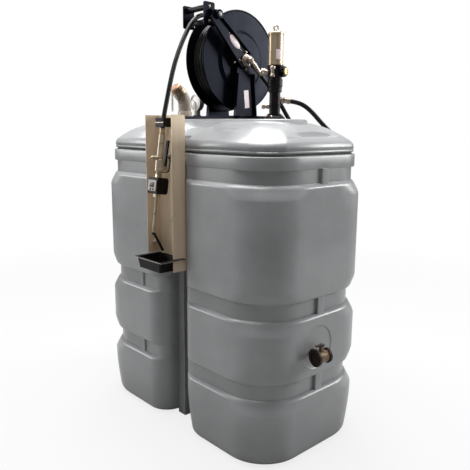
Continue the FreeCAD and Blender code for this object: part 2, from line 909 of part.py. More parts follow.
def swivel_elbow():
    """Bolted flange, turned body and the elbow that points down to the hose."""
    body = turned([
        (0, 0), (swivel_radius + 12, 0), (swivel_radius + 12, 7), (swivel_radius + 4, 8), (swivel_radius + 4, 13),
        (swivel_radius, 15), (swivel_radius, swivel_reach - 6), (swivel_radius - 4, swivel_reach), (0, swivel_reach),
    ])
    body.rotate(Vector(0, 0, 0), Vector(0, 1, 0), 90)
    body.translate(swivel_start())
    corner = swivel_corner()
    tail = rod(corner, tail_direction(), swivel_radius * 0.8, swivel_tail)
    nut = rod(corner + tail_direction() * (swivel_tail - 16), tail_direction(), swivel_radius * 0.95, 12)
    return fuse(body, Part.makeSphere(swivel_radius * 1.02, corner), tail, nut)


def swivel_corner():
    return swivel_start() + Vector(swivel_reach - swivel_radius * 0.6, 0, 0)


def tail_direction():
    return Vector(0, math.sin(math.radians(swivel_turn)), -math.cos(math.radians(swivel_turn)))


def swivel_end():
    return swivel_corner() + tail_direction() * swivel_tail


def hose_ferrule(start, direction, length):
    """Pressed sleeve on a hose end, with a bead at each end."""
    sleeve = rod(start, direction, ferrule_radius, length)
    beads = [
        rod(start, direction, ferrule_radius + 2.0, 6.0),
        rod(start + direction * (length - 7.0), direction, ferrule_radius + 1.2, 4.0),
    ]
    return sleeve.fuse(beads)


def swivel_ferrule():
    return hose_ferrule(swivel_end(), tail_direction(), ferrule_length)


# Pump


def pump_flange():
    """Round foot with a raised collar, in which the tube stands."""
    collar = pump_tube_radius + 8.0
    top = plateau_height + pump_flange_thickness
    foot = turned_at([
        (0, plateau_height), (pump_flange_radius, plateau_height), (pump_flange_radius, top - 3),
        (pump_flange_radius - 3, top), (collar + 3, top), (collar, top + 4),
        (collar, top + pump_collar_height), (0, top + pump_collar_height),
    ], pump_x, pump_y)
    start = Vector(pump_x, pump_y, pump_tube_foot())
    return foot.cut(rod(start, Vector(0, 0, 1), pump_tube_radius + seat_clearance, 3 * pump_collar_height))


def pump_tube_foot():
    return plateau_height + pump_flange_thickness + 2.0


def pump_tube():
    """Tube with a ring below the outlet."""
    foot = pump_tube_foot()
    tube = rod(Vector(pump_x, pump_y, foot), Vector(0, 0, 1), pump_tube_radius, pump_tube_top - foot)
    ring = rod(Vector(pump_x, pump_y, outlet_z - 32.0), Vector(0, 0, 1), pump_tube_radius + 3.0, 9.0)
    return fuse(tube, ring)


def pump_valve_body():
    """Turned housing with a waist and a bolted flange under the cylinder."""
    low = pump_tube_top
    high = pump_valve_top
    wide = pump_valve_radius
    return turned_at([
        (0, low), (wide - 6, low), (wide - 3, low + 4), (wide - 3, low + 22), (wide, low + 26), (wide, high - 62),
        (wide - 4, high - 58), (wide - 4, high - 54), (wide, high - 50), (wide, high - 10), (wide + 3, high - 9),
        (wide + 3, high), (0, high),
    ], pump_x, pump_y)


def pump_cylinder():
    """Air cylinder between two narrow end rings."""
    wide = pump_cylinder_radius
    return turned_at([
        (0, pump_valve_top), (wide + 2, pump_valve_top), (wide + 2, pump_valve_top + 6), (wide, pump_valve_top + 7),
        (wide, pump_cylinder_top - 7), (wide + 2, pump_cylinder_top - 6), (wide + 2, pump_cylinder_top),
        (0, pump_cylinder_top),
    ], pump_x, pump_y)


def pump_cap():
    """Low cap with a boss and a lifting eye."""
    foot = pump_cylinder_top
    top = foot + pump_cap_thickness
    wide = pump_cylinder_radius - 3.0
    cap = turned_at([
        (0, foot), (wide, foot), (wide, top - 3), (wide - 3, top),
        (13, top + 2), (9, top + 5), (9, top + 9), (0, top + 9),
    ], pump_x, pump_y)
    eye_z = top + pump_eye_radius + 8.0
    eye = Part.makeTorus(pump_eye_radius, pump_eye_wire, Vector(pump_x, pump_y, eye_z), Vector(1, -0.6, 0))
    return fuse(cap, eye)


def pump_side(angle):
    return Vector(math.cos(math.radians(angle)), math.sin(math.radians(angle)), 0)


def pump_clearance(radius):
    """Upright space that the pump's own housing takes, for cutting what is seated on it."""
    return rod(Vector(pump_x, pump_y, plateau_height), Vector(0, 0, 1), radius, pump_valve_top - 12.0 - plateau_height)


def pump_gauge():
    """Round air chamber cap on the side of the valve body."""
    out = pump_side(pump_gauge_turn)
    start = Vector(pump_x, pump_y, pump_valve_top - 30.0) + out * (pump_valve_radius - 6.0)
    case = rod(start, out, 14.0, 14.0).fuse([
        rod(start + out * 10.0, out, 24.0, 12.0),
        rod(start + out * 22.0, out, 20.0, 6.0),
    ])
    return case.cut(pump_clearance(pump_valve_radius + seat_clearance))


def pump_air_fitting():
    """Regulator with a knob on the other side of the valve body."""
    out = pump_side(pump_fitting_turn)
    start = Vector(pump_x, pump_y, pump_valve_top - 30.0) + out * (pump_valve_radius - 6.0)
    nipple = rod(start, out, 9.0, 20.0).fuse([
        rod(start + out * 14.0, out, 13.0, 6.0),
        rod(start + out * 20.0, out, 16.0, 15.0),
    ])
    return nipple.cut(pump_clearance(pump_valve_radius + seat_clearance))


def pump_outlet():
    """Nipple on the tube and the ferrule of the hose."""
    out = outlet_direction()
    start = Vector(pump_x, pump_y, outlet_z) + out * (pump_tube_radius - 2.0)
    nipple = rod(start, out, 9.0, 30.0)
    collar = rod(start + out * 6.0, out, 14.0, 10.0)
    ferrule = hose_ferrule(start + out * 18.0, out, outlet_reach - pump_tube_radius - 16.0)
    return fuse(nipple, collar, ferrule).cut(pump_clearance(pump_tube_radius + seat_clearance))


def outlet_direction():
    level = math.cos(math.radians(outlet_droop))
    return pump_side(outlet_turn) * level + Vector(0, 0, -math.sin(math.radians(outlet_droop)))


# Fill pipe and gauge


def fill_flange():
    z = deck_top
    return rod(Vector(fill_x, fill_y, z), Vector(0, 0, 1), fill_flange_radius, fill_flange_thickness)


def fill_base_z():
    return deck_top + fill_flange_thickness


def bend_end():
    """End point and direction of the fill elbow, which leans to the front."""
    angle = math.radians(fill_bend_angle)
    y = fill_y - fill_bend_radius * (1 - math.cos(angle))
    z = fill_base_z() + fill_rise + fill_bend_radius * math.sin(angle)
    return Vector(fill_x, y, z), Vector(0, -math.sin(angle), math.cos(angle))


def fill_elbow():
    z = fill_base_z()
    ring = rod(Vector(fill_x, fill_y, z), Vector(0, 0, 1), fill_pipe_radius + 5.0, 22.0)
    riser = rod(Vector(fill_x, fill_y, z), Vector(0, 0, 1), fill_pipe_radius, fill_rise)
    circle = Part.makeCircle(fill_pipe_radius, Vector(fill_x, fill_y, z + fill_rise), Vector(0, 0, 1))
    profile = Part.Face(Part.Wire(circle))
    pivot = Vector(fill_x, fill_y - fill_bend_radius, z + fill_rise)
    bend = profile.revolve(pivot, Vector(1, 0, 0), fill_bend_angle)
    return fuse(ring, riser, bend)


def fill_coupling():
    """Screwed adapter with three grooves and a collar under the cap."""
    end, out = bend_end()
    sleeve = rod(end, out, fill_coupling_radius, fill_coupling_length)
    grooves_cut = []
    for place in (6.0, 15.0, 24.0):
        grooves_cut.append(Part.makeTorus(fill_coupling_radius, 2.0, end + out * place, out))
    return sleeve.cut(grooves_cut)


def fill_cap():
    """Cap of the coupling with two folded locking levers and their pins."""
    end, out = bend_end()
    start = end + out * fill_coupling_length
    cap = rod(start, out, fill_cap_radius, fill_cap_length - 6.0)
    crown = Part.makeCone(fill_cap_radius, fill_cap_radius - 6.0, 6.0, start + out * (fill_cap_length - 6.0), out)
    reach = fill_cap_radius + 12.0
    lug = rod(start + out * 12.0 - Vector(reach, 0, 0), Vector(1, 0, 0), 6.0, 2 * reach)
    return fuse(cap, crown, lug)


def fill_chain():
    """Chain that keeps the cap, hanging from a lug down to the collar of the elbow."""
    end, out = bend_end()
    top = end + out * (fill_coupling_length + 12.0) - Vector(fill_cap_radius + 12.0, 0, 0)
    links = []
    link_radius = 5.0
    wire = 1.4
    pitch = 2 * link_radius - 2 * wire - 0.3
    z = top.z - 6.0 - link_radius - wire - 0.3
    turn = 0
    while z > fill_base_z() + 28.0:
        axis = Vector(1, 0, 0) if turn % 2 else Vector(0, 1, 0)
        links.append(Part.makeTorus(link_radius, wire, Vector(top.x + 3.0, top.y, z), axis))
        z -= pitch
        turn += 1
    return Part.makeCompound(links)


def level_gauge():
    """Round dial on a threaded neck, facing both ways, with a raised bezel on each face."""
    neck = turned_at([
        (0, deck_top), (gauge_neck_radius + 8, deck_top), (gauge_neck_radius + 8, deck_top + 8),
        (gauge_neck_radius, deck_top + 10), (gauge_neck_radius, gauge_z), (0, gauge_z),
    ], gauge_x, gauge_y)
    half = gauge_depth / 2
    case = turned([
        (0, -half + 3), (gauge_radius - 6, -half + 3), (gauge_radius - 5, -half), (gauge_radius - 2, -half),
        (gauge_radius, -half + 3), (gauge_radius, half - 3), (gauge_radius - 2, half), (gauge_radius - 5, half),
        (gauge_radius - 6, half - 3), (0, half - 3),
    ])
    case.rotate(Vector(0, 0, 0), Vector(1, 0, 0), 90)
    case.translate(Vector(gauge_x, gauge_y, gauge_z))
    return fuse(neck, case)


# Bracket and tray


def gun_bracket():
    """Folded channel on four spacers before the web, with a slot in each side for the tray's rim."""
    half = bracket_width / 2
    front = bracket_back_y - bracket_depth
    channel = box(bracket_x - half, bracket_x + half, front, bracket_back_y, bracket_bottom, bracket_top)
    inner = half - bracket_thickness
    hollow_back = bracket_back_y - bracket_thickness
    hollow = box(bracket_x - inner, bracket_x + inner, front - 1, hollow_back, bracket_bottom - 1, bracket_top + 1)
    channel = channel.cut(hollow)
    slot_back = tray_back_y + 1.0
    slot_foot = tray_bottom + tray_height - tray_rim_thickness - slot_clearance
    reach = half + 1
    slot = box(bracket_x - reach, bracket_x + reach, front - 1, slot_back, slot_foot, slot_foot + slot_height)
    channel = channel.cut(slot)
    spacers = []
    for z in spacer_heights:
        for x in (bracket_x - spacer_offset, bracket_x + spacer_offset):
            start = Vector(x, bracket_back_y, z)
            spacers.append(rod(start, Vector(0, 1, 0), spacer_radius, -web_front - bracket_back_y))
    return channel.fuse(spacers).removeSplitter()


def hose_holder():
    """Block with a bore that grips the hose end above the gun."""
    half = holder_width / 2
    back = bracket_back_y - bracket_thickness
    top = holder_bottom + holder_height
    block = box(bracket_x - half, bracket_x + half, holder_front_y, back, holder_bottom, top)
    bore = rod(Vector(0, 0, -10.0), Vector(0, 0, 1), hose_radius + holder_bore_gap, holder_height + 40.0)
    return block.cut(hang(bore))


def drip_tray():
    half = tray_width / 2
    front = tray_back_y - tray_depth
    middle = (front + tray_back_y) / 2
    top = tray_bottom + tray_height
    outer = tapered_box(half, tray_depth / 2, 10.0, tray_bottom, top, tray_draft, bracket_x, middle)
    inner_x = half - tray_wall
    inner_y = tray_depth / 2 - tray_wall
    floor = tray_bottom + tray_wall
    inner = tapered_box(inner_x, inner_y, 8.0, floor, top + 0.01, tray_draft, bracket_x, middle)
    rim_half = half + tray_rim_width
    rim_foot = top - tray_rim_thickness
    rim_plate = box(bracket_x - rim_half, bracket_x + rim_half, front - 2.0, tray_back_y, rim_foot, top)
    mouth = rounded_box(inner_x, inner_y, 8.0, rim_foot - 1, top + 1, bracket_x, middle)
    return outer.fuse(rim_plate.cut(mouth)).cut(inner).removeSplitter()


def tapered_box(half_x, half_y, radius, z0, z1, draft, x, y):
    wires = []
    for z, less in ((z0, draft), (z1, 0.0)):
        hx = half_x - less
        hy = half_y - less
        corners = [
            (x + hx, y - hy, radius),
            (x + hx, y + hy, radius),
            (x - hx, y + hy, radius),
            (x - hx, y - hy, radius),
        ]
        wires.append(rounded_outline(corners, z))
    return Part.makeLoft(wires, True, True)


# Dispensing gun


def hang(shape):
    """Places a gun piece that was built with its inlet at the origin and its spout downwards."""
    shape.rotate(Vector(0, 0, 0), Vector(1, 0, 0), -gun_tilt)
    shape.translate(Vector(bracket_x, gun_y, gun_z))
    return shape


def gun_body():
    """Swivel, grip, valve housing and neck in one casting, with the lugs and pin of the lever."""
    neck_end = meter_z + meter_half_height
    casting = turned([
        (0, 0), (12, 0), (12, -17), (10, -19), (10, -23), (14, -26), (grip_radius, -126), (13.5, -131),
        (13.5, gun_valve_top), (gun_valve_radius - 2, gun_valve_top), (gun_valve_radius, gun_valve_top - 5),
        (gun_valve_radius, gun_valve_bottom + 4), (gun_valve_radius - 3, gun_valve_bottom),
        (gun_neck_radius, gun_valve_bottom), (gun_neck_radius, neck_end), (0, neck_end),
    ])
    boss = Part.makeCone(12.0, 7.0, 43.0, Vector(0, 0, gun_valve_top + 3), Vector(0, -1, 0))
    boss_end = Part.makeSphere(7.0, Vector(0, -43.0, gun_valve_top + 3))
    nut = hexagon(gun_nut_flats, neck_end, neck_end + gun_nut_height)
    lugs = []
    inner = lever_half + lever_side_gap
    outer = inner + lug_thickness
    outline = [
        (6.0, pivot_z - 12, 1), (pivot_y + 4, pivot_z - 9, 6), (pivot_y + 8, pivot_z + 2, 6),
        (pivot_y + 2, pivot_z + 9, 4), (6.0, pivot_z + 12, 1),
    ]
    for x0, x1 in ((inner, outer), (-outer, -inner)):
        lugs.append(side_plate(outline, x0, x1))
    pin = rod(Vector(-outer - 1.5, pivot_y, pivot_z), Vector(1, 0, 0), pivot_pin_radius, 2 * outer + 3.0)
    guard_lug = box(-5.0, 5.0, 6.0, guard_foot_y, gun_valve_bottom - 5.0, gun_valve_bottom + 6.0)
    return hang(fuse(casting, boss, boss_end, nut, pin, guard_lug, *lugs))


def gun_trigger():
    """Lever that hangs beside the grip and turns on the pin between the lugs."""
    outline = [
        (pivot_y - 7, pivot_z - 8, 6), (pivot_y + 7, pivot_z - 8, 6),
        (pivot_y + 6, -115, 40), (pivot_y + 11, -50, 3),
        (pivot_y + 3.5, -48, 3), (pivot_y - 2, -112, 40), (pivot_y - 2.5, -164, 8),
    ]
    lever = side_plate(outline, -lever_half, lever_half)
    bore_radius = pivot_pin_radius + bearing_clearance
    bore = rod(Vector(-lever_half - 1, pivot_y, pivot_z), Vector(1, 0, 0), bore_radius, 2 * lever_half + 2)
    return hang(lever.cut(bore))


def trigger_guard():
    """Bent bar round the lever's lower end, fixed by its foot and free at its upper end."""
    foot_z = gun_valve_bottom - 2.0
    outer = side_plate([
        (guard_foot_y, foot_z, 0.5), (guard_back_y, foot_z, 20), (guard_back_y, guard_top_z, 16),
        (guard_foot_y, guard_top_z, 0.5),
    ], -guard_half, guard_half)
    inner_back = guard_back_y - guard_bar
    inner = side_plate([
        (guard_foot_y - 10, foot_z + guard_bar, 0.5), (inner_back, foot_z + guard_bar, 20 - guard_bar),
        (inner_back, guard_top_z - guard_bar, 16 - guard_bar), (guard_foot_y - 10, guard_top_z - guard_bar, 0.5),
    ], -guard_half - 1, guard_half + 1)
    mouth = box(-guard_half - 1, guard_half + 1, guard_foot_y - 1, guard_top_y, guard_top_z - 20, guard_top_z + 1)
    return hang(outer.cut([inner, mouth]))


def meter_body():
    """Turbine meter housing with a flat front and chamfered back."""
    front = meter_front_y
    low = meter_z - meter_half_height
    high = meter_z + meter_half_height
    outline = [
        (front, low + 2, 3), (front + 4, low, 3), (25.0, low, 5), (33.0, low + 9, 5),
        (33.0, high - 9, 5), (25.0, high, 5), (front + 4, high, 3), (front, high - 2, 3),
    ]
    return hang(side_plate(outline, -meter_half_width, meter_half_width))


def meter_display():
    half = meter_half_width - 6.0
    rise = meter_half_height - 13.0
    return hang(box(-half, half, meter_front_y - display_thickness, meter_front_y, meter_z - rise, meter_z + rise))


def outlet_pipe():
    """Spout pipe below the meter, held by a nut."""
    top = meter_z - meter_half_height
    nut = hexagon(gun_nut_flats, top - gun_nut_height, top)
    pipe = rod(Vector(0, 0, top), Vector(0, 0, -1), outlet_pipe_radius, outlet_pipe_length)
    return hang(fuse(nut, pipe))


def nozzle_tip():
    end = meter_z - meter_half_height - outlet_pipe_length
    direction = Vector(0, 0.595, -0.804).normalize()
    tip = rod(Vector(0, 0, end), direction, outlet_pipe_radius - 1.0, 105.0)
    ball = Part.makeSphere(outlet_pipe_radius + 1.0, Vector(0, 0, end - 4.0))
    below = box(-20, 20, -20, 20, end, end + 30.0)
    return hang(fuse(ball, tip).cut(below))


# Outlet valve


def valve_stub_form(radius):
    length = dish_depth + valve_reach - valve_body_radius + 6.0
    return rod(Vector(tank_length / 2 - dish_depth, valve_y, valve_z), Vector(1, 0, 0), radius, length)


def valve_stub():
    """Pipe stub on the dish in the end of the tank, with a nut against the dish."""
    foot = Vector(tank_length / 2 - dish_depth, valve_y, valve_z)
    nut = rod(foot, Vector(1, 0, 0), valve_stub_radius + valve_nut_margin, dish_depth + valve_nut_length)
    return valve_stub_form(valve_stub_radius).fuse(nut)


def valve_centre():
    return Vector(tank_length / 2 + valve_reach, valve_y, valve_z)


def turn_valve(shape):
    """Turns a piece that was built along Y about the upright axis of the valve."""
    shape.rotate(valve_centre(), Vector(0, 0, 1), valve_turn)
    return shape


def valve_body():
    """Barrel across the stub with a collar at each end and the neck of the stem."""
    centre = valve_centre()
    half = valve_body_length / 2
    barrel = rod(centre - Vector(0, half, 0), Vector(0, 1, 0), valve_body_radius, valve_body_length)
    neck = rod(centre, Vector(0, 0, 1), valve_neck_radius, valve_body_radius + valve_neck_height)
    return turn_valve(fuse(barrel, neck)).cut(valve_stub_form(valve_stub_radius + seat_clearance))


def valve_disc(side, radius):
    """Union ring on one end of the barrel, with a recessed face."""
    start = valve_centre() + Vector(0, side * valve_body_length / 2, 0)
    disc_body = rod(start, Vector(0, side, 0), radius, valve_disc_thickness)
    face = start + Vector(0, side * (valve_disc_thickness - valve_disc_bore_depth), 0)
    recess = rod(face, Vector(0, side, 0), valve_disc_bore_radius, valve_disc_bore_depth + 1)
    return turn_valve(disc_body.cut(recess))


def valve_disc_front():
    return valve_disc(-1, valve_disc_front_radius)


def valve_disc_back():
    return valve_disc(1, valve_disc_back_radius)


def valve_handle():
    """Short lever on the neck of the valve."""
    foot = valve_centre() + Vector(0, 0, valve_body_radius + valve_neck_height)
    hub = rod(foot, Vector(0, 0, 1), valve_neck_radius, 9.0)
    lever = box(foot.x - 7.0, foot.x + 7.0, foot.y - 32.0, foot.y + 12.0, foot.z + 2.0, foot.z + 8.0)
    return turn_valve(fuse(hub, lever))


# Free hoses


def tube(points, radius):
    """Hose along straight runs joined by tangent arcs that are as large as the runs allow."""
    edges = []
    radii = []
    cursor = points[0]
    length = 0.0
    for i in range(1, len(points) - 1):
        before = points[i - 1] - points[i]
        after = points[i + 1] - points[i]
        shorter = min(before.Length, after.Length)
        turn = math.pi - before.getAngle(after)
        reach = 0.45 * shorter
        bend = reach / math.tan(turn / 2)
        radii.append(bend)
        first = points[i] + Vector(before).normalize() * reach
        last = points[i] + Vector(after).normalize() * reach
        bisector = (Vector(before).normalize() + Vector(after).normalize()).normalize()
        middle = points[i] + bisector * (bend / math.cos(turn / 2) - bend)
        edges.append(Part.LineSegment(cursor, first).toShape())
        edges.append(Part.Arc(first, middle, last).toShape())
        length += cursor.distanceToPoint(first) + bend * turn
        cursor = last
    edges.append(Part.LineSegment(cursor, points[-1]).toShape())
    length += cursor.distanceToPoint(points[-1])
    start_direction = points[1] - points[0]
    profile = Part.Wire(Part.makeCircle(radius, points[0], start_direction))
    hose = Part.Wire(edges).makePipeShell([profile], True, False)
    ratio = hose.Volume / (math.pi * radius * radius * length)
    print("hose length %.0f, radii %s, volume ratio %.4f" % (length, [round(r) for r in radii], ratio))
    return hose


def dispensing_hose():
    return tube([Vector(*p) for p in dispensing_points], hose_radius)


def transfer_hose():
    return tube([Vector(*p) for p in transfer_points], hose_radius)


dispensing_points = (
    (-52.0, 63.0, 1998.0),
    (-52.0, 15.0, 1994.0),
    (-52.0, -35.0, 1991.0),
    (-52.0, -85.0, 1989.0),
    (-52.0, -118.0, 1979.5),
    (-51.0, -147.5, 1963.0),
    (-49.0, -173.0, 1940.0),
    (-46.0, -198.0, 1907.0),
    (-40.0, -243.0, 1834.0),
    (-28.0, -292.0, 1740.0),
    (-15.0, -327.0, 1650.0),
    (-6.0, -350.0, 1585.0),
    (0.0, -366.0, 1540.0),
    (5.0, -379.5, 1498.0),
    (5.0, -384.9, 1456.4),
)

transfer_points = (
    (313.3, 117.1, 1584.2),
    (329.9, 152.7, 1580.1),
    (348.0, 192.0, 1562.0),
    (365.0, 228.0, 1530.0),
    (381.0, 263.0, 1492.0),
    (397.0, 299.0, 1456.0),
    (412.0, 337.0, 1426.0),
    (422.0, 365.0, 1386.0),
    (423.0, 368.0, 1331.7),
    (378.0, 368.0, 1269.7),
    (305.0, 368.0, 1246.0),
    (232.0, 368.0, 1269.7),
    (187.0, 368.0, 1331.7),
    (183.0, 363.0, 1390.0),
    (177.0, 338.0, 1437.0),
    (166.0, 305.0, 1478.0),
    (150.0, 280.0, 1522.0),
    (131.0, 262.0, 1568.0),
    (108.0, 246.0, 1613.0),
    (88.0, 226.0, 1655.0),
    (80.8, 196.0, 1686.6),
    (80.8, 158.5, 1719.1),
)


def build():
    makers = (
        tank_shell,
        tank_lid,
        deck_plate,
        reel_base,
        reel_pedestal_near,
        reel_pedestal_far,
        reel_axle,
        reel_disc_near,
        reel_disc_far,
        reel_core,
        wound_hose,
        reel_arm,
        guide_cheeks,
        swivel_elbow,
        swivel_ferrule,
        pump_flange,
        pump_tube,
        pump_valve_body,
        pump_cylinder,
        pump_cap,
        pump_gauge,
        pump_air_fitting,
        pump_outlet,
        fill_flange,
        fill_elbow,
        fill_coupling,
        fill_cap,
        fill_chain,
        level_gauge,
        gun_bracket,
        hose_holder,
        drip_tray,
        gun_body,
        gun_trigger,
        trigger_guard,
        meter_body,
        meter_display,
        outlet_pipe,
        nozzle_tip,
        valve_stub,
        valve_body,
        valve_disc_front,
        valve_disc_back,
        valve_handle,
        dispensing_hose,
        transfer_hose,
    )
    for maker in makers:
        parts[maker.__name__] = maker()
    parts["tank_floor"] = floor_opening()
    parts["guide_roller_upper"] = guide_roller(0)
    parts["guide_roller_lower"] = guide_roller(1)


build()
os.makedirs("parts", exist_ok=True)
for name, shape in parts.items():
    print("%s solids %d valid %s volume %.0f" % (name, len(shape.Solids), shape.isValid(), shape.Volume))
    shape.exportStep("parts/" + name + ".step")
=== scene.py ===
import bpy
import bmesh
import json
from math import copysign, cos, pi, radians, sin, sqrt
from mathutils import Matrix, Vector


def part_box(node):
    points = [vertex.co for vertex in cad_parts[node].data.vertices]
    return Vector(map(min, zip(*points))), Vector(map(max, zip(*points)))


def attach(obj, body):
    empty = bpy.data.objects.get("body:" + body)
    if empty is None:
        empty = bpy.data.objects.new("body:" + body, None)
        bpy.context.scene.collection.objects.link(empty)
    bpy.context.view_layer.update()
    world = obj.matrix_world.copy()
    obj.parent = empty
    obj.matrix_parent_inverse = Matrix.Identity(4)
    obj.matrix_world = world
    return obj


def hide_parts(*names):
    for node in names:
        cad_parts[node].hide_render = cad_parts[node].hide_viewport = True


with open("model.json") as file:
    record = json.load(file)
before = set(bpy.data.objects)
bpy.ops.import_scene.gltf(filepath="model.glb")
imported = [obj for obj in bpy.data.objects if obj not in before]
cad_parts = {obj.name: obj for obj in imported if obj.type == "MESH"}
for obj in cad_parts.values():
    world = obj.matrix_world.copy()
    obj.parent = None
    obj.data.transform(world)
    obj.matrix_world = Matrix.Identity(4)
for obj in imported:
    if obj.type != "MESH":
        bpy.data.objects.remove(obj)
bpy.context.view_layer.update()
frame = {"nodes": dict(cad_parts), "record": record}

nodes = frame["nodes"]
scene = bpy.context.scene
print("stage: frame loaded,", len(nodes), "nodes")


# small helpers for colours, nodes and places
def linear(hexText):
    # sRGB hex to linear colour
    values = [int(hexText[i:i + 2], 16) / 255 for i in (1, 3, 5)]
    return [v / 12.92 if v <= 0.04045 else ((v + 0.055) / 1.055) ** 2.4 for v in values] + [1.0]


def perMetre(millimetres):
    # texture scale for a pattern whose cells are this many millimetres wide
    return 1000.0 / millimetres


def addNode(material, kind, inputs=None, **settings):
    # a node with its settings; an input is a value, or (node, output name) for a link
    tree = material.node_tree
    node = tree.nodes.new(kind)
    for name, value in settings.items():
        setattr(node, name, value)
    for name, value in (inputs or {}).items():
        if isinstance(value, tuple) and hasattr(value[0], "outputs"):
            tree.links.new(value[0].outputs[value[1]], node.inputs[name])
        else:
            node.inputs[name].default_value = value
    return node


def startMaterial(name):
    material = bpy.data.materials.new(name)
    material.use_nodes = True
    material.node_tree.nodes.clear()
    return material


def moved(place):
    return Matrix.Translation(place)


def spun(degrees, axis):
    return Matrix.Rotation(radians(degrees), 4, axis)


def wear(piece, material):
    piece.data.materials.clear()
    piece.data.materials.append(material)


# what all the surfaces share: patches of tone and gloss, and grain and slow waves as bump
recipeSettings = {
    "patchRange": (0.32, 0.68),  # stretch of the noise over which a surface goes from dark to light
    "patchDetail": 4.0,
    "patchRoughness": 0.55,
    "grainDetail": 3.0,
    "waveDetail": 1.0,
    "waveStrength": 0.5,
}


def surfaceMaterial(name, look, recipe):
    material = startMaterial(name)
    place = addNode(material, "ShaderNodeTexCoord")
    stretch = addNode(material, "ShaderNodeMapping", {
        "Vector": (place, "Object"), "Scale": look.get("stretch", (1, 1, 1))})
    patches = addNode(material, "ShaderNodeTexNoise", {
        "Vector": (stretch, "Vector"), "Scale": perMetre(look["patchMm"]),
        "Detail": recipe["patchDetail"], "Roughness": recipe["patchRoughness"]})
    colours = addNode(material, "ShaderNodeValToRGB", {"Fac": (patches, "Fac")})
    for stop, position, tone in zip(colours.color_ramp.elements, recipe["patchRange"], ("dark", "light")):
        stop.position = position
        stop.color = linear(look[tone])
    gloss = addNode(material, "ShaderNodeMapRange", {
        "Value": (patches, "Fac"), "From Min": recipe["patchRange"][0], "From Max": recipe["patchRange"][1],
        "To Min": look["roughness"][0], "To Max": look["roughness"][1]})
    grain = addNode(material, "ShaderNodeTexNoise", {
        "Vector": (stretch, "Vector"), "Scale": perMetre(look["grainMm"]), "Detail": recipe["grainDetail"]})
    bump = addNode(material, "ShaderNodeBump", {
        "Height": (grain, "Fac"), "Strength": look["bump"], "Distance": look["bumpMm"] / 1000})
    if "waveMm" in look:
        waves = addNode(material, "ShaderNodeTexNoise", {
            "Vector": (place, "Object"), "Scale": perMetre(look["waveMm"]), "Detail": recipe["waveDetail"]})
        bump = addNode(material, "ShaderNodeBump", {
            "Height": (waves, "Fac"), "Strength": recipe["waveStrength"],
            "Distance": look["waveHeightMm"] / 1000, "Normal": (bump, "Normal")})
    inputs = {
        "Base Color": (colours, "Color"), "Roughness": (gloss, "Result"), "Normal": (bump, "Normal"),
        "Metallic": look.get("metallic", 0.0), "IOR": look.get("ior", 1.5),
        "Specular IOR Level": look.get("specular", 0.5)}
    inputs.update(look.get("extra", {}))
    shader = addNode(material, "ShaderNodeBsdfPrincipled", inputs)
    addNode(material, "ShaderNodeOutputMaterial", {"Surface": (shader, "BSDF")})
    return material


